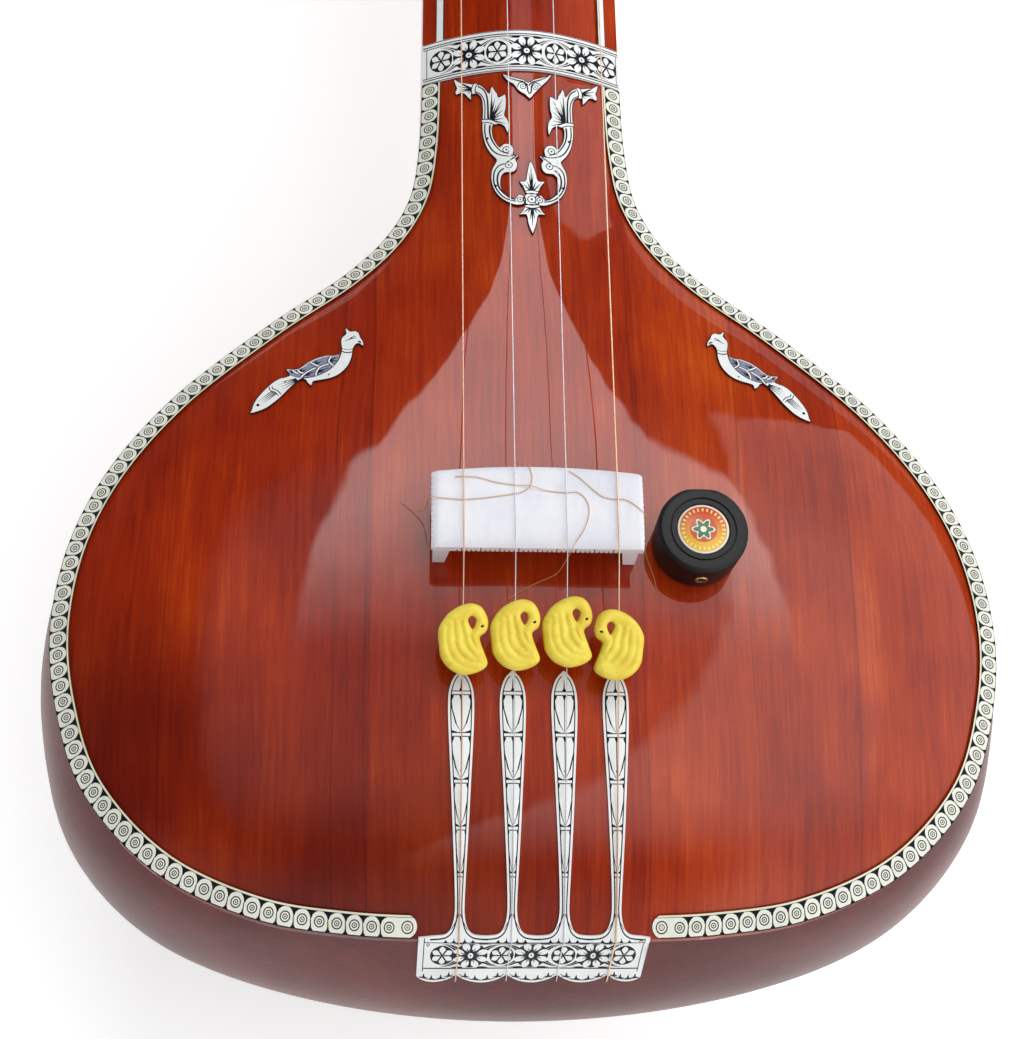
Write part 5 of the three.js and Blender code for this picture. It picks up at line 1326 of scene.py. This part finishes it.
z = np.where(corners[:, 1] < 1e-3, 0, height(across[:, 0], across[:, 1]))
# Both strips' side faces take the ink, as painted shade.
for side, name in ((1, "right"), (-1, "left")):
    own_cells = flipped(cells) if side > 0 else cells
    top, under = [np.column_stack([across * (side, 1), z + lift]) for lift in (GAP + INLAY, GAP)]
    laid(f"rim_strip_{name}_inlay", (corners, own_cells, colours), top, under,
         [strip_white, ink, wash, brass, cream], "body", f"rim_strip_{name}", "rim_strip",
         side_colour=INK)

# Band over the joint of body and neck
xs = np.linspace(-1, 1, 60)
band_ring = between(at_level(xs * neck_half(BODY_LENGTH), 420.6),
                    at_level(xs * neck_half(BAND_TOP), BAND_TOP))
band_shapes = inky([stroke(at_level(xs * 48.6, y), [width], 1) for y, width in (
    (420.9, 0.4), (422.4, 0.6), (423.6, 0.5), (440.6, 0.5), (441.8, 0.6), (443.7, 0.4))])
band_shapes += inky([stroke([(x, 423.4), (x, 440.6)], [0.35], 6) for x in (-46.8, 47.6)])
band_shapes += frieze([-39.9, -26.4, -12.6, 1.8, 16.2, 29.6, 42.4], 432.0, 8.2)
on_front("neck_band_plate", [band_ring], band_shapes, "neck_band", "band", 2.6)

# Scroll, fleur and crest
SCROLL_X = 2
arm_outline = [
    (-33.7, 420.0), (-31.1, 417.5), (-28.1, 416.2), (-25.1, 415), (-22.8, 414.5), (-20.1, 412.9),
    (-18, 410), (-16.7, 407.9), (-16.3, 410.2), (-15.2, 412.1), (-14.1, 409.7), (-12.8, 407.5),
    (-12.3, 405.3), (-10.8, 406), (-9, 406.7), (-8.5, 403.6), (-8.7, 398.5), (-9.4, 394.7),
    (-8.2, 392.8), (-7.4, 390.2), (-7.3, 386.7), (-8, 384), (-9, 386.2), (-9.9, 388.4),
    (-11.7, 389.7), (-14.2, 389.9), (-15.2, 388.9), (-15.4, 386), (-14.9, 382.3), (-13.6, 379.2),
    (-11.9, 376.7), (-10.5, 378.2), (-8.5, 378.6), (-6.7, 377.8), (-5.3, 375.7), (-5.3, 373.6),
    (-5.6, 372.1), (-2.8, 371.4), (-4.6, 369.5), (-3.8, 367.7), (-3.7, 365.2), (-4.6, 363),
    (-6.6, 361.8), (-9.1, 362), (-10.9, 360.8), (-11.7, 357.2), (-11.5, 353.6), (-9.8, 350.2),
    (-7.5, 348.1), (-4.9, 347.3), (-3.8, 349.1), (-2, 349.3), (-0.6, 347.9), (-0.2, 345.7),
    (-1.2, 343.9), (-4.5, 343.3), (-8.1, 344.7), (-11.7, 347.4), (-14.6, 351.6), (-16.2, 356.9),
    (-16.4, 361.3), (-15.7, 364.9), (-14.4, 367.5), (-13.7, 369.5), (-14.7, 371), (-16.5, 373.4),
    (-18.6, 377.7), (-19.7, 382.2), (-20.3, 386.7), (-20.3, 391.1), (-20.1, 396.9), (-20.1, 401.3),
    (-20.5, 405.1), (-21.7, 407.8), (-23.7, 409.2), (-25, 408.7), (-25.3, 405.6), (-27.2, 407.5),
    (-28.7, 409.8), (-30.5, 410.7), (-32.5, 410.1), (-33.2, 412), (-32.4, 413.9), (-33.3, 416.7)]
arm_lines = [
    ([(-22.2, 413), (-19.5, 410.6), (-18, 406.9), (-17.5, 402.4), (-17.4, 397.2), (-17.3, 393.1)],
     [0.45, 0.5, 0.7]),
    ([(-23.2, 410), (-20.9, 408.1), (-19.4, 404.9), (-18.8, 401.1), (-18.9, 396.7), (-19, 393.4)],
     [0.35]),
    ([(-18.9, 390.9), (-19, 386.5), (-18.4, 382), (-17, 378), (-15.1, 374.7), (-12.6, 372.6),
      (-8.9, 371.4), (-5.6, 371.2)], [0.4, 0.5, 0.3]),
    ([(-16.5, 389.8), (-16.7, 386.2), (-16.1, 382.3), (-14.7, 378.9), (-12.8, 375.9),
      (-10.7, 373.8), (-7.7, 372.6)], [0.6, 0.45, 0.3]),
    ([(-9.7, 367.1), (-12.5, 366.1), (-14.5, 363.4), (-15.1, 359.7), (-14.8, 355.7), (-13.1, 351.5),
      (-10.2, 347.8), (-6.9, 346.1), (-4.6, 345.6)], [0.4, 0.5, 0.4]),
    ([(-10.2, 364.4), (-12.1, 362.9), (-13.2, 360.2), (-13.2, 356.2), (-12.1, 352.7), (-9.8, 349.7),
      (-7.2, 347.4), (-4.9, 346.5)], [0.5, 0.6, 0.4]),
    ([(-6.6, 372), (-4.4, 371.2), (-6.3, 369.6), (-8.6, 368)], [0.3, 0.5, 0.3]),
    ([(-18.3, 382.6), (-17.4, 381.9)], [0.9]),
    ([(-14.8, 355.2), (-13.7, 354.3)], [0.9])]
# Hatching: from a root to each tip, with the width at the root
arm_hatches = [
    ((-24.6, 411.8), 0.8, [(-32.2, 418.2), (-31, 416.4), (-28.9, 415.2), (-32.6, 415.4),
      (-31.6, 412.8), (-32, 411.6), (-29.4, 411.6), (-28.4, 410.6), (-27.2, 409.1),
      (-25.8, 406.8)]),
    ((-16.3, 392.6), 0.9, [(-15.3, 410.8), (-15.0, 404.5), (-13.9, 405.8), (-13.2, 401.6),
      (-9.6, 405.4), (-10.4, 401.4), (-9.6, 398.4), (-10.4, 395.4), (-9.4, 392.8), (-8.2, 389.4),
      (-8.0, 385.8), (-10.6, 390.4)])]
fleur_up = [
    (2.6, 369), (1.2, 364.2), (0.4, 359.8), (-0.2, 356.9), (-3, 356.9), (-1.3, 354), (0.2, 350.4),
    (5.6, 350.4), (7.3, 354), (9.4, 357.4), (6.2, 357.4), (5.5, 360.2), (4.5, 364.4)]
fleur_down = [
    (-0.2, 343.2), (-1.6, 340.3), (-3.3, 337.8), (-0.1, 338.1), (0.5, 334.4), (1.5, 330.3),
    (2.9, 327.4), (4.2, 330.6), (5.2, 334.6), (6, 338.2), (9.2, 338.1), (7.6, 340.6), (6, 343.4)]
fleur_hatches = [
    ((2.8, 350.6), 0.9, [(2.7, 367), (1.6, 362.6), (3.8, 362.6), (-1.6, 356.2), (8.0, 356.8),
      (0.6, 357.2), (5.2, 357.6)]),
    ((2.9, 343), 0.9, [(2.9, 330.6), (1.8, 335), (4.1, 335), (-2.2, 338.4), (8.2, 338.6),
      (0.4, 338.6), (5.5, 338.6)])]
crest_outline = [
    (-10.4, 418.6), (-7.1, 417.3), (-3.4, 416), (0, 415), (2.3, 413.5), (4.7, 415.3), (7.9, 416.6),
    (11, 417.9), (14, 419.6), (13.1, 417.2), (11.3, 414.6), (9.3, 412.2), (7.2, 409.6),
    (5.1, 406.8), (2.9, 404.1), (0.4, 406.5), (-1.9, 407.9), (-3.5, 409.8), (-5.2, 412.5),
    (-7.4, 413.8), (-9.1, 416)]
crest_lines = [
    ([(-9, 417.1), (-5.9, 415.5), (-2.8, 414.4), (0, 413.7), (2, 411.8)], [0.2, 0.5, 0.5]),
    ([(12.6, 418.4), (9.6, 416.2), (6.9, 414.8), (4.4, 413.8), (2.5, 411.8)], [0.2, 0.5, 0.5]),
    ([(-3.2, 410.7), (-2.1, 413.1), (0, 413.4), (1.7, 411.1), (2, 408.5), (2.8, 406.9)],
     [0.3, 0.5, 0.4]),
    ([(8.4, 411.8), (7.2, 413.2), (5.2, 413.4), (3.8, 411.3), (3.7, 408.6), (2.9, 406.9)],
     [0.3, 0.5, 0.4])]


def inked(lines):
    return inky([stroke(points, [1.5 * w for w in widths]) for points, widths in lines])


def painted_shadow_rims(*rings):
    """A painted shadow line: a dark line round the edge of each ring."""
    halves = [part for ring in rings for part in (ring[:len(ring) // 2 + 1],
                                                  np.vstack([ring[len(ring) // 2:], ring[:1]]))]
    return inky([stroke(part, [0.65], 1) for part in halves])


def hatched(groups):
    """Lines from each root towards its tips, that thin out."""
    return inky([stroke([lerp(np.array(root), np.array(tip), share) for share in (0.06, 0.92)],
                        [width, 0.75 * width, 0.1], 3)
                 for root, width, tips in groups for tip in tips])


def turned_over(ring):
    """A ring of the scroll's left arm, as it is in the right arm."""
    return np.array(ring) * (-1, 1) + (2 * SCROLL_X, 0)


arm_shapes = (hatched(arm_hatches) + inked(arm_lines)
              + edged([(-22.9, 415), (-24.2, 412.6), (-24.3, 410), (-23.6, 408)], 1.3)
              + edged([(-21, 392.6), (-17.1, 392.2), (-13.2, 390)], 1.3)
              + target(-8.9, 375, 1.9, 1.45, 0.5) + target(-7.8, 366.2, 1.9, 1.45, 0.5)
              + target(-2.7, 346.5, 1.6, 1.2, 0.45))
arm_shapes += [(turned_over(ring), colour) for ring, colour in arm_shapes]
fleur_shapes = (hatched(fleur_hatches) + edged([(-1, 350.2), (2.8, 351), (6.6, 350.2)], 1.2)
                + edged([(-1, 343.4), (2.8, 342.6), (6.6, 343.4)], 1.2)
                + target(2.8, 346.8, 2.2, 1.75, 0.55))
scroll = [closed_spline(line, 2) for line in (arm_outline, turned_over(arm_outline), fleur_up,
                                              fleur_down)] + [circle(2.8, 346.8, 3.9, 24)]
# The scroll has a painted shadow line round its edges, and its side faces take the ink as painted
# shade.
on_front("scroll_applique", scroll, painted_shadow_rims(*scroll) + arm_shapes + fleur_shapes,
         "scroll_ornament", "ornament", 2.4, INK)
# The crest too: a painted shadow line round its edge, and ink side faces as painted shade.
crest_line = closed_spline(crest_outline, 2)
crest_shapes = (painted_shadow_rims(crest_line) + inked(crest_lines) + target(-0.3, 411, 1.5, 1.15, 0.4)
                + target(5.7, 411, 1.5, 1.15, 0.4))
on_front("crest_applique", [crest_line], crest_shapes, "crest_ornament", "ornament", 2.4, INK)

# Birds: one drawing, turned over and a little swung round for the right shoulder
bird_outline = [
    (-83.7, 279.2), (-82.6, 277.6), (-81.5, 276.9), (-79.6, 277.1), (-77.8, 275.5), (-77.2, 273.3),
    (-76.2, 271.4), (-75.6, 269.6), (-75.8, 267.7), (-76.8, 268.5), (-77.9, 269.5), (-79, 269.1),
    (-80, 267.7), (-80.5, 265.5), (-80.7, 262.9), (-81.4, 260), (-82.6, 257.1), (-84.5, 254.5),
    (-87, 252.3), (-89.9, 250.9), (-93.3, 250.1), (-96.4, 249.7), (-98.2, 249.2), (-98.8, 247.1),
    (-99.8, 247.6), (-101, 248.9), (-101.8, 250.5), (-103.7, 251.1), (-105.5, 249.8), (-108, 247.2),
    (-110.5, 244.2), (-113.1, 241.2), (-115.9, 238.5), (-118.9, 236.1), (-122.3, 234.6),
    (-126.3, 233.8), (-125.7, 235.9), (-125.1, 238.7), (-123.7, 241.8), (-121.4, 245.1),
    (-118.9, 248.1), (-116, 250.9), (-113, 252.5), (-109.2, 253.4), (-110, 255.4), (-110.8, 257.4),
    (-107.9, 257.1), (-105.7, 257.2), (-103.4, 258.4), (-101, 260.5), (-98, 262.2), (-95, 263.2),
    (-92.2, 263.8), (-89.3, 263.5), (-87.1, 264), (-85.8, 265.3), (-85.9, 268.1), (-86.2, 270.9),
    (-85.9, 273.3), (-84.9, 274.8), (-84.5, 276.3), (-84.4, 278.1)]
breast = [
    (-85.9, 264.6), (-87.1, 260.8), (-88.8, 258.1), (-91, 255.7), (-93.9, 253.8), (-96.9, 252.5),
    (-100.3, 251.8), (-103.8, 251.5)]
wing = breast + [
    (-106.6, 252.4), (-109.2, 253.8), (-109.6, 255.4), (-109.9, 256.7), (-107.9, 256.5),
    (-105.5, 256.5), (-103, 257.7), (-100.7, 259.8), (-97.8, 261.5), (-94.8, 262.5),
    (-92.1, 263.1), (-89.3, 262.9), (-87.4, 263.2)]
tail_line = [
    (-105.6, 251.6), (-109.5, 252.1), (-112.9, 250.9), (-115.9, 248.9), (-118.8, 245.7),
    (-121.3, 242.4), (-123.3, 238.9), (-124.5, 236.2), (-122.2, 236.6), (-118.9, 238.4),
    (-116, 240.8), (-113.1, 243.4), (-110.2, 246.3), (-107.6, 248.9), (-105.5, 250.3)]
bird_shapes = [(np.array(wing), WASH)]
for points, width in (([(-85.6, 267.2), (-83.3, 266.4), (-80.4, 266.6)], 0.3),
                      ([(-85.4, 265.4), (-83.1, 264.6), (-80.6, 264.9)], 0.6), (breast, 0.5),
                      (tail_line + tail_line[:1], 0.32)):
    bird_shapes.append((stroke(points, [width]), INK))
bird_shapes += inked([
    ([(-84.4, 271.3), (-82.3, 272.2), (-81, 273), (-79.6, 273.5)], [0.1, 0.5, 1.1]),
    ([(-78.4, 271), (-77.4, 270.4), (-76.6, 269.6)], [0.3, 0.6, 0.2]),
    ([(-85.2, 274.6), (-84.0, 275.9), (-83.9, 277.9)], [0.8, 0.5, 0.1])])
bird_shapes += target(-80.2, 273.2, 0.85, 0.6, 0.25)
# Feathers: the drawn edge, and the shade that runs up to it from behind
for edge, shade in (
        ([(-107.9, 256.9), (-106.9, 255.5), (-105.2, 254.3)], [(-109.6, 256.6), (-109, 255.2)]),
        ([(-105.6, 256.9), (-104.6, 255.2), (-102.5, 254.3)], [(-103.4, 257.4), (-101.8, 256.2)]),
        ([(-97.5, 256.9), (-100.4, 255.4), (-102.8, 253.4), (-104, 251.8)],
         [(-97.8, 254.6), (-99.2, 252.9)]),
        ([(-99.8, 260.4), (-97.9, 258.9), (-95.3, 257.6)], [(-96.8, 261.4), (-94.4, 260.6)]),
        ([(-91.2, 258.9), (-95.2, 257.3), (-96.9, 254.5), (-97.1, 252.6)],
         [(-91.6, 256.6), (-93.6, 254.6)]),
        ([(-90.4, 262.9), (-91.4, 260.3), (-89.3, 257.7)], [(-87.9, 262.4), (-87.6, 260.4)])):
    middle = edge[len(edge) // 2]
    bird_shapes += inky([stroke([middle, one], [1.5, 0.2], 3) for one in shade])
    bird_shapes += edged(edge, 0.75, 0.4)
for tips, root, fan in (
        ([(-113.2, 250.2), (-113.9, 248.6), (-114, 246.9), (-112.9, 245.4)], (-105.6, 251), -0.35),
        ([(-123, 239.8), (-122, 239.4), (-121, 239), (-119.8, 239.2)], (-115.2, 245.2), -0.9)):
    bird_shapes += inky([stroke([around(*root, 0.25, fan, (k - 1.5, k - 1.5)), tip],
                                [0.7, 0.4, 0], 3) for k, tip in enumerate(tips)])
bird_shapes += edged([(-117.6, 248), (-117, 246.2), (-115, 245.2), (-113.2, 242.9)], 0.9, 0.45)
bird_shapes += inky([circle(-91.2, 252.9, 0.42, 10), circle(-111, 250.2, 0.4, 10),
                     circle(-122.9, 238.1, 0.75, 12)])


def swung(p):
    """The left bird's places, turned over and swung to where the right one sits."""
    x, y = np.array([-p[:, 0] - 126.3, p[:, 1] - 233.8]) * 0.98
    c, s = math.cos(math.radians(-5)), math.sin(math.radians(-5))
    return np.column_stack([x * c - y * s + 130.2, x * s + y * c + 235])


bird_line = closed_spline(bird_outline, 2)
# A painted shadow line round the bird's edge; both birds' side faces take the ink as painted shade.
bird_shapes += painted_shadow_rims(bird_line)
on_front("bird_left_applique", [bird_line], bird_shapes, "bird_left", "ornament", 2.4, INK)
on_front("bird_right_applique", [bird_line], bird_shapes, "bird_right", "ornament", 2.4, INK,
         swung)

# Tail plate with its spoons. Below the edge it is drawn as it is seen from in front.
seen_to_wall = [
    (-11, -40), (-9.2, -36), (-7.4, -32), (-5.5, -28), (-3.7, -24), (-1.8, -20), (0, -16),
    (1.8, -12), (3.47, -8), (4.58, -4), (5.83, 0), (8.2, 2), (11.1, 4)]


def wall(ring):
    ring = np.array(ring, float)
    seen, placed = np.array(seen_to_wall, float).T
    ring[:, 1] = np.interp(ring[:, 1], seen, placed)
    return ring


def plate_low(x):
    """How far down its sheet the plate reaches."""
    profile = plate_profile(x)
    return profile[0, 0] - np.linalg.norm(np.diff(profile, axis=0), axis=1).sum()


def lobe_low(x):
    """The lower edge in round lobes, one between each string and the next."""
    ends = np.array([-PLATE_HALF] + STRING_X + [PLATE_HALF])
    k = min(max(np.searchsorted(ends, x) - 1, 0), 4)
    share = min(abs(2 * (x - ends[k]) / (ends[k + 1] - ends[k]) - 1), 1)
    return plate_low(x) + 5 * (1 - math.sqrt(1 - 0.98 * share * share))


# Half the width of a spoon, as a share of its widest, at shares of its length
spoon_shares = [(0.0186, 1.86), (0.0195, 1.55), (0.0236, 1.08), (0.036, 0.73), (0.058, 0.5),
                (0.086, 0.39), (0.115, 0.36), (0.5, 0.7), (0.88, 1), (0.93, 0.88), (0.97, 0.58),
                (1, 0.06)]
spoon_side = spline([(w * 5.55, s * SPOON_TIP) for s, w in spoon_shares], 6)


def spoon_half(y):
    return np.interp(y, spoon_side[:, 1], spoon_side[:, 0])


low_xs = np.linspace(-PLATE_HALF, PLATE_HALF, 90)
low_line = np.column_stack([low_xs, [lobe_low(x) + 0.3 for x in low_xs]])
up_line = []
for x in STRING_X[::-1]:
    up_line += [spoon_side + (x, 0), spoon_side[::-1] * (-1, 1) + (x, 0)]
plate_ring = np.vstack([low_line, [(PLATE_HALF, 1.4)], *up_line, [(-PLATE_HALF, 1.4)]])
frame_left, frame_right = -46.3, 46.6
framing = [stroke([(frame_left, y), (frame_right, y)], [0.5], 40) for y in (5.5, -5.3)]
framing += [stroke([(x, -6.8), (x, 7.4)], [0.4], 12) for x in (frame_left, frame_right)]
plate_shapes = inky(framing) + frieze(
    [frame_left + 92.9 * s for s in (0.086, 0.216, 0.358, 0.495, 0.642, 0.78, 0.922)], 0.05, 5.1)
plate_shapes = [(wall(ring), colour) for ring, colour in plate_shapes]
# The lobes under the frame, each with an arc and tufts of leaves
for a, b in zip([-PLATE_HALF] + STRING_X, STRING_X + [PLATE_HALF]):
    xs = np.linspace(a + 1.2, b - 1.2, 12)
    low = np.array([lobe_low(x) for x in xs])
    plate_shapes += inky([stroke(np.column_stack([xs, low + 2.4]), [0.5, 0.7, 0.5], 2)])
    for x in [lerp(a, b, share) for share in (0.18, 0.38, 0.62, 0.82)]:
        plate_shapes += inky([around(x, lobe_low(x) + 2.4, 1, 1, [
            (-2.4, 0), (-0.5, 1.4), (-0.1, 4.4), (0.1, 4.4), (0.6, 1.5), (2.4, 0)])])
# Tufts on the frame's top line, and brass points
for x in STRING_X:
    plate_shapes += inky([wall(around(x + at, 0, 1, 1, [
        (-1.5, 5.6), (-0.2, 6.3), (0, 5.7 + tall * 1.2), (0.3, 6.2), (1.4, 5.6)]))
        for at, tall in ((-5.6, 1.0), (-2.2, 1.7), (2.4, 1.7), (5.8, 1.0))])
for x, y, radius in ((frame_left + 1.7, 4.3, 0.75), (frame_right - 1.7, 5.9, 0.75),
                     *[(x, 0.4, 0.8) for x in STRING_X]):
    plate_shapes += [(wall(circle(x, y, radius, 12)), INK), (wall(circle(x, y, 0.5, 10)), BRASS)]
# Spoons: a line along the edge, white bars, and petals in each field between them
BAR = 0.75
bars = [100.1, 82.2, 62.6, 43.5, 25]
edge = np.vstack([[(12.2, 1.95)], spoon_side[:-3]])
spoon_line = edge + leftward(edge) * np.minimum(1.15, edge[:, :1] - 0.3)
for x in STRING_X:
    plate_shapes += inky([stroke(spoon_line * (side, 1) + (x, 0), [0.55, 0.5, 0.45], 1)
                          for side in (-1, 1)])
    for k, (top, low) in enumerate(zip([107.2] + [b - BAR for b in bars],
                                       [b + BAR for b in bars] + [10.5])):
        half_top, half_low = spoon_half(top) - 1.2, spoon_half(low) - 1.2
        if k == 0:
            plate_shapes += inky([around(x, low, 1, 1, [(-1.0, 0), (1.0, 0), (0.28, 1.6),
                                                        (0.12, 5.4), (-0.12, 5.4), (-0.28, 1.6)])])
        elif k < 5:
            crescent = [(half_top, 1), (half_top * 0.72, 0.97), (half_top * 0.94, 0.84),
                        (half_top * 0.86, 0.62), (half_top * 0.42, 0.22), (0.12, 0.03),
                        (0.3, 0.03), (half_top * 0.62, 0.26), (half_top * 1.0, 0.64)]
            corner = [(half_low, 0), (half_low, 0.07), (half_low * 0.4, 0.02), (half_low * 0.3, 0)]
            plate_shapes += inky([around(x, low, side, top - low, ring)
                                  for side in (-1, 1) for ring in (crescent, corner)])
        if k in (1, 2):
            plate_shapes += inky([around(x, 0, 1, 1, [
                (-0.85, top), (-0.2, top - 2.3), (-0.13, low + 0.8), (0.13, low + 0.8),
                (0.2, top - 2.3), (0.85, top)])])
    for bar in bars:
        half = spoon_half(bar) - 0.95
        plate_shapes += inky([stroke([(x - half, y), (x + half, y)], [0.42], 2)
                              for y in (bar - 0.8, bar + 0.8)])
    plate_shapes += inky([circle(x, 67, 0.45, 10), circle(x, 9.6, 0.5, 10)])
    plate_shapes += inky([stroke(around(x, 0, side, 1, [(0.3, 10), (1.6, 6.8), (3.4, 4.2)]),
                                 [0.3, 0.35, 0.2], 3) for side in (-1, 1)])


def on_plate(p, lift):
    """Places of the sheet: on the face above the plate's start, down the wall below it."""
    last = 122
    columns = np.linspace(-PLATE_HALF, PLATE_HALF, last + 1)
    profiles = [plate_profile(x) for x in columns]
    moved = [offset_profile(x, one, lift) for x, one in zip(columns, profiles)]
    ways = [way_along(one) for one in profiles]
    z = height(p[:, 0], p[:, 1])
    out = np.column_stack([p, z + lift])
    for i, (x, y) in enumerate(p):
        at = min(max((x - columns[0]) / (columns[1] - columns[0]), 0), last - 0.001)
        k = int(at)
        near = [[np.interp(max(profiles[j][0, 0] - y, 0), ways[j], moved[j][:, a])
                 for a in range(3)] for j in (k, k + 1)]
        place = lerp(np.array(near[0]), np.array(near[1]), at - k)
        place[0] = x
        start = lerp(profiles[k][0, 0], profiles[k + 1][0, 0], at - k)
        if y > start:
            lifted = np.array([x, start, float(height(x, start)) + lift])
            out[i] += (place - lifted) * max(1 - (y - start) / BEND_REACH, 0)
        else:
            out[i] = place
    return out


plate_sheet = cut_sheet([plate_ring], plate_shapes, 1.9)
laid("tail_plate_engraved", plate_sheet, on_plate(plate_sheet[0], GAP + INLAY),
     on_plate(plate_sheet[0], GAP), engraved, "body", "tail_plate", "tail_plate")


# Stage: a wide pale floor with a pale wall round it, far off
def stage_material():
    made, g = material("stage_white")
    path = g.add("ShaderNodeLightPath").outputs
    seen = g.math("MAXIMUM", path["Is Camera Ray"], g.math("MAXIMUM", path["Is Glossy Ray"],
                                                           path["Is Transmission Ray"]))
    matt = g.add("ShaderNodeBsdfDiffuse", {"Color": (0.9, 0.9, 0.9)})
    glow = g.add("ShaderNodeEmission", {"Color": (1.0, 1.0, 1.0), "Strength": 0.4})
    both = g.add("ShaderNodeAddShader", {0: matt.outputs[0], 1: glow.outputs[0]})
    mixed = g.add("ShaderNodeMixShader", {0: seen, 1: matt.outputs[0], 2: both.outputs[0]})
    g.add("ShaderNodeOutputMaterial", {"Surface": mixed.outputs[0]})
    return made


STAGE_REACH, STAGE_WALL = 40, 6
ring = [(STAGE_REACH * math.cos(a), STAGE_REACH * math.sin(a))
        for a in np.linspace(0, 2 * math.pi, 96, endpoint=False)]
floor_shape = fresh("floor", [(x, y, -0.0005) for x, y in ring], [tuple(range(96))])
wall_shape = fresh("wall", [(x, y, z) for z in (-0.1, STAGE_WALL) for x, y in ring],
                   [((k + 1) % 96, k, 96 + k, 96 + (k + 1) % 96) for k in range(96)])
pale = stage_material()
for one in (floor_shape, wall_shape):
    one.data.materials.append(pale)


# Light: a dim even sky with soft bright stretches, as large cloths over the instrument
def sky():
    made = bpy.data.worlds.new("studio")
    bpy.context.scene.world = made
    g = Graph(made)
    way = g.add("ShaderNodeTexCoord").outputs["Generated"]
    x, y, z = [g.add("ShaderNodeVectorMath", {0: way, 1: tuple(axis)},
                     operation="DOT_PRODUCT").outputs[1] for axis in TURN.T]
    overhead = g.math("MAXIMUM", z, 0.03)
    across, along = g.math("DIVIDE", x, overhead), g.math("DIVIDE", y, overhead)
    above = g.smooth(z, 0.0, 0.15)

    def product(*shares):
        out = shares[0]
        for share in shares[1:]:
            out = g.math("MULTIPLY", out, share)
        return out

    def cloth(left, right, low, high, soft=0.012, soft_low=0.03):
        """A soft-edged stretch of sky between places in the plane over the board."""
        return product(g.smooth(across, left - soft, left), g.smooth(across, right + soft, right),
                       g.smooth(along, low - soft_low, low + soft_low),
                       g.smooth(along, high + soft, high - soft), above)

    side = product(g.smooth(g.math("SUBTRACT", along, across), 0.41, 0.38),
                   g.smooth(z, 0.34, 0.37), g.smooth(along, -0.5, -0.1),
                   g.smooth(g.math("MULTIPLY_ADD", along, -0.38, across), 0.13, 0.15))
    bright = g.math("MAXIMUM", cloth(-0.12, 0.26, 0.38, 0.85, 0.012, 0.14),
                    cloth(-0.14, 0.36, 0.38, 0.62, 0.02, 0.14))
    strength = 0.09
    for share, level in ((bright, 5.2), (side, 1.7), (cloth(-0.3, 0.6, -0.2, 0.6, 0.12, 0.2), 0.6),
                         (cloth(-0.9, 60, -60, -0.6, 0.3, 0.15), 0.5),
                         (cloth(0.4, 60, -60, -0.3, 0.2, 0.1), 1.15),
                         (cloth(-60, -2.2, -60, 60, 0.4), 0.75)):
        strength = g.math("MULTIPLY_ADD", share, level, strength)
    shader = g.add("ShaderNodeBackground", {"Color": (1.0, 1.0, 1.0), "Strength": strength})
    g.add("ShaderNodeOutputWorld", {"Surface": shader.outputs[0]})


sky()
bpy.context.scene.view_settings.view_transform = "Standard"
